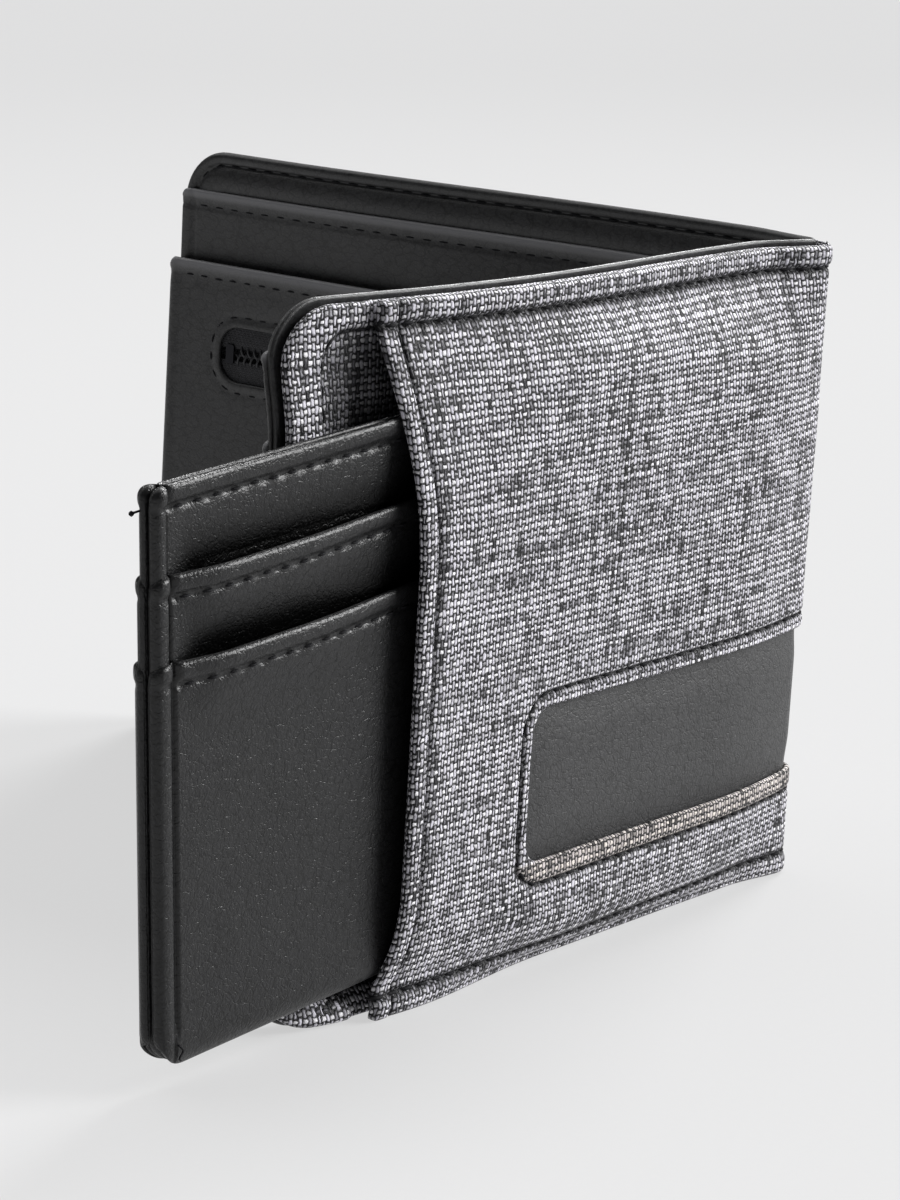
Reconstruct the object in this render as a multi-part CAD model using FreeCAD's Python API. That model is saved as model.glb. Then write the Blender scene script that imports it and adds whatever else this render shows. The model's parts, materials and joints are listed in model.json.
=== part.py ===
import FreeCAD, Part

"""Bifold wallet that stands half open on its bottom edge, with a removable card holder in an outer pocket.

Units are millimetres and +Z is up. The origin is at the foot of the spine, where the outer fabric folds.
The front half runs along -X from the spine, and its outside faces -Y. The back half stands almost square to it.
Each half is built from layers. A point of a half is (s, t, z): s is the distance from the spine's virtual
corner towards the side edge, t is the depth from the outer face inwards, and z is the height.
"""

import math
import os

Vec = FreeCAD.Vector

# Overall sizes of one half
HEIGHT = 90.0
LINING_HEIGHT = 90.6
HALF_WIDTH = 114.5
OUTER_CORNER_R = 8.0

# The spine
OPENING_DEG = 87.0
SPINE_FOLD_R = 4.0
SPINE_CORNER_X = 1.53
SPINE_CORNER_Y = -1.45
SPINE_REACH = 13.0
SPINE_LINING_FOOT = 0.5
SOFT_GAP = 0.3

# Depths of the layers, from the outer face inwards
OUTER_FABRIC_T = (0.0, 0.8)
HEM_T = (0.0, 1.3)
LEATHER_T = (0.8, 1.3)
SHELL_T = (1.3, 2.0)
FRONT_STIFFENER_T = (2.0, 2.35)
BACK_STIFFENER_T = (1.5, 2.1)
LINING_T = (2.4, 2.8)
BILL_WALL_T = (3.2, 3.6)
CARD_SLOT_T = ((3.75, 4.2), (4.3, 4.75), (4.85, 5.3))
POUCH_LINING_T = (3.75, 4.05)
ZIP_PANEL_T = (5.5, 6.0)
ZIP_TAPE_T = (5.1, 5.4)
ZIP_COIL_T = (4.75, 5.75)

# Top edges of the inner panels, which step down
INNER_FOOT_Z = 1.0
BILL_WALL_TOP = 84.5
CARD_SLOT_TOPS = (74.0, 63.5, 53.0)
ZIP_PANEL_TOP = 74.0
INNER_START = 16.0
INNER_EDGE_INSET = 1.0
INNER_CORNER_R = 5.0
STIFFENER_INSET = 3.0

# The long window in the outer fabric, with a leather band behind it
WINDOW_Z = (15.5, 36.0)
WINDOW_END = 71.5
WINDOW_CORNER_R = 3.5
LEATHER_MARGIN = 3.5

# The outer pocket over the front half, which bulges over the card holder
MOUTH = 98.0
BULGE = ((SPINE_REACH, 0.0), (26.0, 5.3), (60.0, 6.8), (MOUTH, 7.2))
POCKET_FOOT_Z = (1.0, 3.1)
POCKET_HEAD_Z = (82.4, 86.4)
POCKET_WALL = 0.8

# The zipped coin pocket inside the back half
ZIP_Z = 60.4
ZIP_WINDOW = (19.5, 104.3)
ZIP_WINDOW_HALF = 4.2
ZIP_WINDOW_R = 3.5
ZIP_TAPE_S = (17.0, 108.0)
ZIP_TAPE_Z = (0.9, 7.4)
ZIP_COIL_S = (27.0, 101.6)
ZIP_COIL_R = 0.42
ZIP_STOP_S = ((20.2, 21.7), (101.8, 103.3))
ZIP_STOP_HALF = 1.5

# The zip's slider, with its pull
SLIDER_S = (22.2, 31.2)
SLIDER_HALF = 2.7
SLIDER_TOP_T = (5.9, 6.4)
SLIDER_BOTTOM_T = (4.2, 4.6)
SLIDER_POST_S = (22.8, 24.4)
SLIDER_POST_HALF = 0.55
SLIDER_LIP = 0.45
SLIDER_LIP_T = 5.6
BAIL_S = (23.4, 30.2)
BAIL_HALF = 0.6
BAIL_FOOT = 0.9
BAIL_OPEN_T = 7.15
BAIL_TOP_T = 7.65
PULL_PIVOT_S = 26.8
PULL_PIVOT_T = 6.775
PULL_BAR_R = 0.3
PULL_HALF = 2.0
PULL_LENGTH = 16.0
PULL_EYE_LENGTH = 5.2
PULL_EYE_HALF = 1.1
PULL_TAPER = 1.5

# The card holder, which leans a little in its pocket
HOLDER_LENGTH = 93.0
HOLDER_HEIGHT = 70.65
HOLDER_CORNER = Vec(-136.1, -6.04, 2.17)
HOLDER_RISE_DEG = 4.57
HOLDER_YAW_DEG = 0.7
HOLDER_FOOT_R = 2.5
HOLDER_HEAD_R = 1.2
HOLDER_FRONT_BASE = (1.3, 1.8)
HOLDER_BACK_BASE = (2.2, 2.7)
HOLDER_FRONT_SLOTS = ((0.65, 1.2, 10.45), (0.0, 0.55, 20.68))
HOLDER_BACK_SLOTS = ((2.8, 3.35, 10.45), (3.45, 4.0, 20.68))
HOLDER_FOLD = 0.5


def front(s, t, z):
    """A point of the front half."""
    return Vec(SPINE_CORNER_X - s, SPINE_CORNER_Y + t, z)


def back(s, t, z):
    """A point of the back half, which is turned from the front half by the opening angle."""
    turn = math.radians(180 - OPENING_DEG)
    x = SPINE_CORNER_X + s * math.cos(turn) - t * math.sin(turn)
    y = SPINE_CORNER_Y + s * math.sin(turn) + t * math.cos(turn)
    return Vec(x, y, z)


def holder(a, d, b):
    """A point of the card holder: a along its foot, d inwards from its front face, b up its side."""
    rise, yaw = math.radians(HOLDER_RISE_DEG), math.radians(HOLDER_YAW_DEG)
    along = Vec(math.cos(rise) * math.cos(yaw), math.cos(rise) * math.sin(yaw), math.sin(rise))
    inward = Vec(-math.sin(yaw), math.cos(yaw), 0)
    up = along.cross(inward)
    return HOLDER_CORNER + along * a + inward * d + up * b


def outline(place, depth, across, up, radii):
    """The wire of a rectangle across a half, with its four corners rounded by their own radii.

    The corners go round from low across, low up, through high across, low up.
    """
    corners = ((0, 0), (1, 0), (1, 1), (0, 1))
    arc_turns = (180, 270, 0, 90)
    edges, last, first = [], None, None
    for (i, j), r, turn in zip(corners, radii, arc_turns):
        cx = across[i] + (r if i == 0 else -r)
        cz = up[j] + (r if j == 0 else -r)
        angles = [math.radians(turn + a) for a in (0, 45, 90)]
        p, q, w = [place(cx + r * math.cos(a), depth, cz + r * math.sin(a)) for a in angles]
        if last is not None:
            edges.append(Part.makeLine(last, p))
        if r > 0:
            edges.append(Part.Arc(p, q, w).toShape())
        first = first or p
        last = w
    edges.append(Part.makeLine(last, first))
    return Part.Wire(edges)


def panel(place, across, depths, up, radii=(0, 0, 0, 0)):
    """A flat layer of a half between two depths."""
    face = Part.Face(outline(place, depths[0], across, up, radii))
    return face.extrude(place(0, depths[1], 0) - place(0, depths[0], 0))


def side_panel(place, across, depths, up, radius):
    """A flat layer that is rounded only at its two outer corners."""
    return panel(place, across, depths, up, (0, radius, radius, 0))


def window_cutter(place, margin):
    """The long window's volume, from the spine to its rounded end."""
    depths = (-margin, margin)
    across = (-margin, WINDOW_END)
    radii = (0, WINDOW_CORNER_R, WINDOW_CORNER_R, 0)
    return panel(place, across, depths, WINDOW_Z, radii)


def pocket_section(s, bulge):
    """One closed section of the outer pocket, as a wire across the front half at s."""
    low, high = POCKET_FOOT_Z
    head_low, head_high = POCKET_HEAD_Z
    wall = POCKET_WALL
    outer = [(0, 0), (0, low), (-bulge, high), (-bulge, head_low), (0, head_high), (0, HEIGHT)]
    inner = [
        (HEM_T[1], HEIGHT),
        (HEM_T[1], head_high - wall),
        (wall - bulge, head_low - wall),
        (wall - bulge, high + wall),
        (HEM_T[1], low + wall),
        (HEM_T[1], 0),
    ]
    points = [front(s, t, z) for t, z in outer + inner]
    return Part.makePolygon(points + points[:1])


def outer_fabric_front():
    """The outer pocket: flat hems at the top and foot, and a bulge between them that is open at the side."""
    sections = [pocket_section(s, bulge) for s, bulge in BULGE]
    return Part.makeLoft(sections, True, True).cut(window_cutter(front, 20.0))


def window_leather_front():
    """The leather band behind the window, which follows the pocket's bulge."""
    low, high = WINDOW_Z[0] - LEATHER_MARGIN, WINDOW_Z[1] + LEATHER_MARGIN
    end = WINDOW_END + LEATHER_MARGIN
    (s_low, b_low), (s_high, b_high) = BULGE[2:]
    end_bulge = b_low + (b_high - b_low) * (end - s_low) / (s_high - s_low)
    sections = []
    for s, bulge in BULGE[:3] + ((end, end_bulge),):
        t0, t1 = LEATHER_T[0] - bulge, LEATHER_T[1] - bulge
        corners = [(t0, low), (t1, low), (t1, high), (t0, high), (t0, low)]
        sections.append(Part.makePolygon([front(s, t, z) for t, z in corners]))
    return Part.makeLoft(sections, True, True)


def spine_strip(depths, up):
    """A strip of one layer round the spine: a run on the front half, the fold, and a run to the back half."""
    half_turn = math.radians(OPENING_DEG / 2)
    centre_s = SPINE_FOLD_R / math.tan(half_turn)
    centre = front(centre_s, SPINE_FOLD_R, 0)
    outward = (front(0, 0, 0) - centre).normalize()
    far = SPINE_REACH
    loops = []
    for t in depths:
        loops.append([
            front(far, t, up[0]),
            front(centre_s, t, up[0]),
            centre + outward * (SPINE_FOLD_R - t) + Vec(0, 0, up[0]),
            back(centre_s, t, up[0]),
            back(far, t, up[0]),
        ])
    (a, b, c, d, e), (f, g, h, i, j) = loops
    edges = [
        Part.makeLine(a, b),
        Part.Arc(b, c, d).toShape(),
        Part.makeLine(d, e),
        Part.makeLine(e, j),
        Part.makeLine(j, i),
        Part.Arc(i, h, g).toShape(),
        Part.makeLine(g, f),
        Part.makeLine(f, a),
    ]
    return Part.Face(Part.Wire(edges)).extrude(Vec(0, 0, up[1] - up[0]))


def shell_layer(place, start, depths, top, inset=0.0):
    """A layer over the whole half, from the spine strip to the side edge."""
    across = (start, HALF_WIDTH - inset)
    up = (inset, top - inset)
    return side_panel(place, across, depths, up, OUTER_CORNER_R - inset)


def inner_panel(place, depths, top):
    """A panel of the inside, which stops short of the fold and has a straight top edge."""
    across = (INNER_START, HALF_WIDTH - INNER_EDGE_INSET)
    return panel(place, across, depths, (INNER_FOOT_Z, top), (0, INNER_CORNER_R, 1.0, 0))


def front_half():
    """The layers of the front half, outside first."""
    nodes = {
        "outer_fabric_front": outer_fabric_front(),
        "window_leather_front": window_leather_front(),
        "front_shell_fabric": shell_layer(front, SPINE_REACH, SHELL_T, HEIGHT),
        "front_stiffener": shell_layer(front, SPINE_REACH, FRONT_STIFFENER_T, HEIGHT, STIFFENER_INSET),
        "front_lining": shell_layer(front, SPINE_REACH, LINING_T, LINING_HEIGHT),
        "bill_wall_front": inner_panel(front, BILL_WALL_T, BILL_WALL_TOP),
    }
    names = ("upper", "middle", "lower")
    for name, depths, top in zip(names, CARD_SLOT_T, CARD_SLOT_TOPS):
        nodes["card_slot_front_" + name] = inner_panel(front, depths, top)
    return nodes


def spine():
    """The strips that bend round the spine."""
    low, high = WINDOW_Z
    leather_up = (low - LEATHER_MARGIN, high + LEATHER_MARGIN)
    return {
        "outer_fabric_spine_lower": spine_strip(OUTER_FABRIC_T, (0, low)),
        "outer_fabric_spine_upper": spine_strip(OUTER_FABRIC_T, (high, HEIGHT)),
        "spine_leather": spine_strip(LEATHER_T, leather_up),
        "spine_lining": spine_strip(LINING_T, (SPINE_LINING_FOOT, LINING_HEIGHT)),
    }


def back_half():
    """The layers of the back half, outside first."""
    start = SPINE_REACH + SOFT_GAP
    fabric = shell_layer(back, start, OUTER_FABRIC_T, HEIGHT).cut(window_cutter(back, 20.0))
    band = (start, WINDOW_END + LEATHER_MARGIN)
    band_up = (WINDOW_Z[0] - LEATHER_MARGIN, WINDOW_Z[1] + LEATHER_MARGIN)
    return {
        "outer_fabric_back": fabric,
        "window_leather_back": panel(back, band, LEATHER_T, band_up),
        "back_stiffener": shell_layer(back, start, BACK_STIFFENER_T, HEIGHT, STIFFENER_INSET),
        "back_lining": shell_layer(back, start, LINING_T, LINING_HEIGHT),
        "bill_wall_back": inner_panel(back, BILL_WALL_T, BILL_WALL_TOP),
        "coin_pouch_lining": inner_panel(back, POUCH_LINING_T, ZIP_PANEL_TOP - 2),
        "zip_panel": zip_panel(),
    }


def zip_panel():
    """The coin pocket's wall, with a long window that shows the zip."""
    up = (ZIP_Z - ZIP_WINDOW_HALF, ZIP_Z + ZIP_WINDOW_HALF)
    depths = (ZIP_PANEL_T[0] - 1, ZIP_PANEL_T[1] + 1)
    hole = panel(back, ZIP_WINDOW, depths, up, (ZIP_WINDOW_R,) * 4)
    return inner_panel(back, ZIP_PANEL_T, ZIP_PANEL_TOP).cut(hole)


def zip_coil(side):
    """One row of the zip's coil, as a plain rod beside the middle line."""
    z = ZIP_Z + side * (ZIP_COIL_R + 0.02)
    depth = sum(ZIP_COIL_T) / 2
    start, end = [back(s, depth, z) for s in ZIP_COIL_S]
    return Part.makeCylinder(ZIP_COIL_R, (end - start).Length, start, end - start)


def zip_parts():
    """The tapes, coils and stops of the zip."""
    near, far = ZIP_TAPE_Z
    nodes = {}
    for name, side in (("upper", 1), ("lower", -1)):
        up = sorted((ZIP_Z + side * near, ZIP_Z + side * far))
        nodes["zip_tape_" + name] = panel(back, ZIP_TAPE_S, ZIP_TAPE_T, up)
        nodes["zip_coil_" + name] = zip_coil(side)
    stop_up = (ZIP_Z - ZIP_STOP_HALF, ZIP_Z + ZIP_STOP_HALF)
    clear_t = (ZIP_TAPE_T[1] + 0.05, ZIP_COIL_T[1])
    for name, across in zip(("closed", "open"), ZIP_STOP_S):
        nodes["zip_stop_" + name] = panel(back, across, clear_t, stop_up, (0.4,) * 4)
    return nodes


def slider_body():
    """Two plates on a post between the rows of coil, with lips over the tapes and a bail for the pull."""
    up = (ZIP_Z - SLIDER_HALF, ZIP_Z + SLIDER_HALF)
    radii = (1.6, 0.8, 0.8, 1.6)
    body = panel(back, SLIDER_S, SLIDER_TOP_T, up, radii)
    body = body.fuse(panel(back, SLIDER_S, SLIDER_BOTTOM_T, up, radii))
    post_up = (ZIP_Z - SLIDER_POST_HALF, ZIP_Z + SLIDER_POST_HALF)
    post_t = (SLIDER_BOTTOM_T[0] + 0.1, SLIDER_TOP_T[1] - 0.1)
    body = body.fuse(panel(back, SLIDER_POST_S, post_t, post_up))
    lip_s = (SLIDER_S[0] + 1.8, SLIDER_S[1] - 1.0)
    lip_t = (SLIDER_LIP_T, SLIDER_TOP_T[1] - 0.1)
    for edge in (up[0], up[1] - SLIDER_LIP):
        body = body.fuse(panel(back, lip_s, lip_t, (edge, edge + SLIDER_LIP)))
    return body.removeSplitter()


def slider_bail():
    """The arch on the slider's upper plate, which holds the pull's bar."""
    up = (ZIP_Z - BAIL_HALF, ZIP_Z + BAIL_HALF)
    arch = panel(back, BAIL_S, (SLIDER_TOP_T[1], BAIL_TOP_T), up)
    opening = (BAIL_S[0] + BAIL_FOOT, BAIL_S[1] - BAIL_FOOT)
    wide = (up[0] - 1, up[1] + 1)
    return arch.cut(panel(back, opening, (SLIDER_TOP_T[1] - 1, BAIL_OPEN_T), wide))


def pull_tab():
    """The pull: a flat tab with an eye, whose end is a round bar in the bail."""
    t0, t1 = PULL_PIVOT_T - PULL_BAR_R, PULL_PIVOT_T + PULL_BAR_R
    up = (ZIP_Z - PULL_HALF, ZIP_Z + PULL_HALF)
    across = (PULL_PIVOT_S, PULL_PIVOT_S + PULL_LENGTH)
    tab = panel(back, across, (t0, t1), up, (0, PULL_TAPER, PULL_TAPER, 0))
    eye = (PULL_PIVOT_S - 1, PULL_PIVOT_S + PULL_EYE_LENGTH)
    eye_up = (ZIP_Z - PULL_EYE_HALF, ZIP_Z + PULL_EYE_HALF)
    tab = tab.cut(panel(back, eye, (t0 - 1, t1 + 1), eye_up))
    foot = back(PULL_PIVOT_S, PULL_PIVOT_T, ZIP_Z - PULL_HALF)
    bar = Part.makeCylinder(PULL_BAR_R, 2 * PULL_HALF, foot, Vec(0, 0, 1))
    return tab.fuse(bar).removeSplitter()


def holder_panel(depths, drop):
    """A layer of the card holder, which stops short of its top edge by drop."""
    radii = (HOLDER_FOOT_R, HOLDER_FOOT_R, HOLDER_HEAD_R, HOLDER_HEAD_R)
    return panel(holder, (0, HOLDER_LENGTH), depths, (0, HOLDER_HEIGHT - drop), radii)


def holder_wrap():
    """The holder's base sheet: a front and a back wall that are one piece, folded at the foot."""
    radii = (HOLDER_FOOT_R, HOLDER_FOOT_R, HOLDER_HEAD_R, HOLDER_HEAD_R)
    whole = holder_panel((HOLDER_FRONT_BASE[0], HOLDER_BACK_BASE[1]), 0)
    inside_depths = (HOLDER_FRONT_BASE[1], HOLDER_BACK_BASE[0])
    inside_up = (HOLDER_FOLD, HOLDER_HEIGHT + 5)
    across = (-5, HOLDER_LENGTH + 5)
    return whole.cut(panel(holder, across, inside_depths, inside_up, radii))


def card_holder():
    """The removable card holder: the folded base sheet with two stepped slots on each side."""
    nodes = {"holder_wrap": holder_wrap()}
    for side, slots in (("front", HOLDER_FRONT_SLOTS), ("back", HOLDER_BACK_SLOTS)):
        for name, (d0, d1, drop) in zip(("upper", "lower"), slots):
            nodes[f"holder_{side}_slot_{name}"] = holder_panel((d0, d1), drop)
    return nodes


def main():
    """Builds every sub-part and writes one STEP file for each."""
    nodes = {}
    nodes.update(front_half())
    nodes.update(spine())
    nodes.update(back_half())
    nodes.update(zip_parts())
    nodes["zip_slider_body"] = slider_body()
    nodes["zip_slider_bail"] = slider_bail()
    nodes["zip_pull_tab"] = pull_tab()
    nodes.update(card_holder())
    os.makedirs("parts", exist_ok=True)
    for name, shape in nodes.items():
        print(f"{name:26s} solids {len(shape.Solids)} valid {shape.isValid()} volume {shape.Volume:9.1f}")
        shape.Solids[0].exportStep(os.path.join("parts", name + ".step"))


main()
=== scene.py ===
# Looks of the bifold wallet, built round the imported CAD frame.
#
# The making is done in millimetres in the CAD frame, and meshes are written in metres.
# Cloth that belongs to the two halves is laid out in (u, v, t): u is the arc length round the spine's
# outer face, negative on the front half and positive on the back half, v the height and t the depth inwards.
# The card holder is laid out in (a, b, d): a along its foot, b up its side and d inwards from its front face.

import json
import math

import bpy
import numpy as np
from mathutils import Matrix, Vector


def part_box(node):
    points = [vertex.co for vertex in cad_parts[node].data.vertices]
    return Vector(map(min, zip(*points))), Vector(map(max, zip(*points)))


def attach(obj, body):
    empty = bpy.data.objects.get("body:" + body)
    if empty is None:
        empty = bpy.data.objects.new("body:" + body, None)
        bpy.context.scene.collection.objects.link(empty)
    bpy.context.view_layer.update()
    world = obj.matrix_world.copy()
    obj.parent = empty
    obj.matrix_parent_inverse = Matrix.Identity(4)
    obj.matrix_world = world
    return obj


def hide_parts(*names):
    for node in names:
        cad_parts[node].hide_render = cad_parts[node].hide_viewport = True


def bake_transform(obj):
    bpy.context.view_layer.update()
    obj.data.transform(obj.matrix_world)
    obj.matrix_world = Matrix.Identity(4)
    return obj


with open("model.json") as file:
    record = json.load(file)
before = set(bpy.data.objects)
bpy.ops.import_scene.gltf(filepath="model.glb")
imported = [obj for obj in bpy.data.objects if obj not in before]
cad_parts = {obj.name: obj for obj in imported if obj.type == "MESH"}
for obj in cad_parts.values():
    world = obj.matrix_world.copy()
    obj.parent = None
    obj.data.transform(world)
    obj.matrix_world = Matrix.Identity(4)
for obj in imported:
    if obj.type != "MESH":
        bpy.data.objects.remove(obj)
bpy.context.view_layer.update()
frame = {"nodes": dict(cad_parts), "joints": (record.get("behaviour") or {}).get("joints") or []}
JOINTS = {joint["name"]: joint for joint in frame["joints"]}


# ---------------------------------------------------------------- the frame's own directions and sizes

def node_points(node):
    """The vertices of a CAD node, in millimetres."""
    mesh = frame["nodes"][node].data
    points = np.zeros(len(mesh.vertices) * 3)
    mesh.vertices.foreach_get("co", points)
    return points.reshape(-1, 3) * 1000


BACK_ALONG = np.array(JOINTS["zip_slide"]["axis"][:2])
BACK_INWARD = np.array([-BACK_ALONG[1], BACK_ALONG[0]])
FRONT_ALONG = np.array([-1.0, 0.0])
FRONT_INWARD = np.array([0.0, 1.0])
TURN = math.atan2(BACK_ALONG[1], BACK_ALONG[0])
HALF_OPENING = (math.pi - TURN) / 2
HINGE = np.array(JOINTS["spine_fold"]["pos_m"]) * 1000
CORNER_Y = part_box("outer_fabric_spine_upper")[0].y * 1000
CORNER = np.array([HINGE[0] + (HINGE[1] - CORNER_Y) / math.tan(HALF_OPENING), CORNER_Y])

FOLD_R = 4.0
FOLD_REACH = FOLD_R / math.tan(HALF_OPENING)
ARC_HALF = FOLD_R * TURN / 2
LEAD = FOLD_REACH - ARC_HALF
FOLD_CENTRE = CORNER + FRONT_ALONG * FOLD_REACH + FRONT_INWARD * FOLD_R
MID_ANGLE = -math.pi / 2 + TURN / 2


def extent(node, half):
    """The lowest and highest (s, t, z) of a node of one half."""
    along, inward = (FRONT_ALONG, FRONT_INWARD) if half == "front" else (BACK_ALONG, BACK_INWARD)
    points = node_points(node)
    flat = points[:, :2] - CORNER
    own = np.column_stack([flat @ along, flat @ inward, points[:, 2]])
    return own.min(0), own.max(0)


def front_u(s):
    return LEAD - s


def back_u(s):
    return s - LEAD


def reach(u):
    """Distance from the spine's corner."""
    return np.abs(u) + LEAD


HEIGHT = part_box("outer_fabric_spine_upper")[1].z * 1000
LINING_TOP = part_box("front_lining")[1].z * 1000
WINDOW_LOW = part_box("outer_fabric_spine_lower")[1].z * 1000
WINDOW_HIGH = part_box("outer_fabric_spine_upper")[0].z * 1000
SIDE = extent("front_lining", "front")[1][0]
MOUTH = extent("outer_fabric_front", "front")[1][0]
STRIP_END = extent("outer_fabric_spine_upper", "front")[1][0]
WINDOW_END = extent("window_leather_front", "front")[1][0] - 3.5
LEATHER_END = WINDOW_END + 3.5
CORNER_R = 8.0
WINDOW_R = 3.5


# ---------------------------------------------------------------- small maths

def smooth(x):
    x = np.clip(x, 0.0, 1.0)
    return x * x * (3 - 2 * x)


def bump(x, at, width):
    return np.exp(-(((x - at) / width) ** 2))


def dome(x):
    """A round hill over 0 to 1."""
    return np.sqrt(np.clip(1 - (2 * np.clip(x, 0, 1) - 1) ** 2, 0, 1))


def ripple(u, v):
    """Slow unevenness of cloth that has seen use, about -1 to 1."""
    first = np.sin(u / 7.3 + 1.3 * np.sin(v / 11.0)) * np.sin(v / 9.1 + 0.8 * np.sin(u / 13.0))
    second = np.sin(u / 3.1 + v / 4.7) * np.sin(v / 3.7 - u / 5.9)
    return 0.7 * first + 0.3 * second


def inside(u, v, low, high, radii):
    """Distance inwards from the edge of a rounded rectangle. Radii run anticlockwise from the low corner."""
    centre_u, centre_v = (low[0] + high[0]) / 2, (low[1] + high[1]) / 2
    right, upper = u > centre_u, v > centre_v
    r = np.where(upper, np.where(right, radii[2], radii[3]), np.where(right, radii[1], radii[0]))
    x = np.abs(u - centre_u) - (high[0] - low[0]) / 2 + r
    y = np.abs(v - centre_v) - (high[1] - low[1]) / 2 + r
    outer = np.hypot(np.maximum(x, 0), np.maximum(y, 0))
    return r - outer - np.minimum(np.maximum(x, y), 0)


# ---------------------------------------------------------------- where points lie

def spot(u, v, t):
    """Points of the halves at arc length u, height v and depth t."""
    u, v, t = np.broadcast_arrays(u, v, t)
    bent = np.clip(u, -ARC_HALF, ARC_HALF)
    angle = MID_ANGLE + bent / FOLD_R
    out = np.stack([np.cos(angle), np.sin(angle)], -1)
    tangent = np.stack([-np.sin(angle), np.cos(angle)], -1)
    flat = FOLD_CENTRE + out * (FOLD_R - t)[..., None] + tangent * (u - bent)[..., None]
    return np.concatenate([flat, v[..., None]], -1)


def edge_share(v):
    """How far the bow of the stiff edges reaches at a height: fully at both edges, little between."""
    top = smooth((v - 73.0) / 13.0)
    foot = smooth((15.0 - v) / 12.0)
    return 0.08 + 0.92 * np.maximum(top, foot)


def bow(u, v):
    """How far inwards the layers of a half are bent."""
    s = reach(u)
    top = 1.0 + 2.1 * np.cos(2 * math.pi * (s - 10) / 125)
    foot = 0.3 + 1.1 * np.cos(2 * math.pi * (s - 5) / 150)
    front = foot + (top - foot) * np.clip(v / HEIGHT, 0, 1)
    curl = 2.1 * smooth((s - 60) / 32) * smooth((114.0 - s) / 13) * (1 - smooth((v - 0.8) / 4.0))
    back_top = -0.85 + 1.65 * np.cos(2 * math.pi * (s - 95) / 140)
    back = back_top * smooth((v - 70.0) / 18.0)
    share = np.where(u < 0, front * edge_share(v) - curl, back)
    return share * smooth((np.abs(u) - 1.5) / 13.0)


def pocket(u, v):
    """How far the outer pocket stands out from the front half."""
    s = np.maximum(reach(u) - 3.0, 0)
    full = 2.8 * (1 - (1 - np.minimum(s / 24.0, 1)) ** 2) + 4.2 * (s / 95.0) ** 1.15
    top_width = 9.0 + 22.0 * smooth((s - 52) / 43)
    top = 1 - (1 - np.clip((86.6 - v) / top_width, 0, 1)) ** 1.85
    foot_width = 7.0 + 9.5 * smooth((s - 55) / 38)
    foot = 1 - (1 - np.clip((v - 1.0) / foot_width, 0, 1)) ** 2.05
    hem = (0.4 + 0.7 * smooth((s - 62) / 26)) * smooth(s / 18)
    hem_top = 0.5 * smooth(s / 30)
    edge = np.where(v < HEIGHT / 2, hem, hem_top)
    stand = edge + (full - edge) * np.minimum(top, foot)
    return np.where(u < 0, stand, 0.0)


def mouth_u(v):
    """The pocket's open side edge, which is a shallow curve."""
    s = MOUTH - 0.9 + 2.6 * smooth((v - 62) / 26) + 1.2 * smooth((16 - v) / 16)
    return front_u(s)


# The card holder's own directions
HOLDER_RISE = math.radians(4.57)
HOLDER_YAW = math.radians(0.7)
HOLDER_ALONG = np.array([
    math.cos(HOLDER_RISE) * math.cos(HOLDER_YAW),
    math.cos(HOLDER_RISE) * math.sin(HOLDER_YAW),
    math.sin(HOLDER_RISE),
])
HOLDER_INWARD = np.array([-math.sin(HOLDER_YAW), math.cos(HOLDER_YAW), 0.0])
HOLDER_UP = np.cross(HOLDER_ALONG, HOLDER_INWARD)
HOLDER_AXES = np.array([HOLDER_ALONG, HOLDER_UP, HOLDER_INWARD])


def holder_extent(node):
    """The lowest and highest (a, b, d) of a node of the card holder, not counted from its corner yet."""
    own = node_points(node) @ HOLDER_AXES.T
    return own.min(0), own.max(0)


HOLDER_LOW, HOLDER_HIGH = holder_extent("holder_front_slot_lower")
HOLDER_ORIGIN = HOLDER_LOW
HOLDER_LENGTH = (HOLDER_HIGH - HOLDER_LOW)[0]
HOLDER_HEIGHT = (holder_extent("holder_wrap")[1] - HOLDER_LOW)[1]
HOLDER_DEEP = (holder_extent("holder_back_slot_lower")[1] - HOLDER_LOW)[2]
SLOT_TOPS = [(holder_extent("holder_front_slot_" + n)[1] - HOLDER_LOW)[1] for n in ("upper", "lower")]


def holder_spot(a, b, d):
    """Points of the card holder, which thins towards its hidden end and is round along its foot."""
    a, b, d = np.broadcast_arrays(a, b, d)
    middle = HOLDER_DEEP / 2
    thin = 1 - 0.80 * smooth((a - 33) / 42)
    foot = np.sqrt(1 - (1 - np.clip((b + 0.02) / 3.2, 0, 1)) ** 2)
    deep = middle + (d - middle) * thin * (0.12 + 0.88 * foot)
    return (np.stack([a, b, deep], -1) + HOLDER_ORIGIN) @ HOLDER_AXES


# ---------------------------------------------------------------- meshes

EDGE_STEPS = (0.05, 0.14, 0.28, 0.48)


def lines(low, high, marks=(), fine=0.5, coarse=2.0, near=3.5, seams=()):
    """Grid positions from low to high: fine near both ends, marks and seams, coarse elsewhere."""
    keys = sorted({low, high, *marks})
    stops = sorted({x for k in keys for x in (k - near, k, k + near) if low <= x <= high})
    found = []
    for start, end in zip(stops, stops[1:]):
        is_fine = min(abs((start + end) / 2 - k) for k in keys) < near
        count = max(1, math.ceil((end - start) / (fine if is_fine else coarse)))
        found += list(np.linspace(start, end, count, endpoint=False))
    keys = sorted({*keys, *seams})
    found += [k + side * step for k in keys for step in EDGE_STEPS for side in (-1, 1)]
    found = sorted(x for x in found if low < x < high and min(abs(x - k) for k in keys) > 0.03)
    kept = []
    for x in sorted(found + keys):
        if kept and x - kept[-1] < 0.05 and x not in keys:
            continue
        kept.append(x)
    return np.array(kept)


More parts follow.
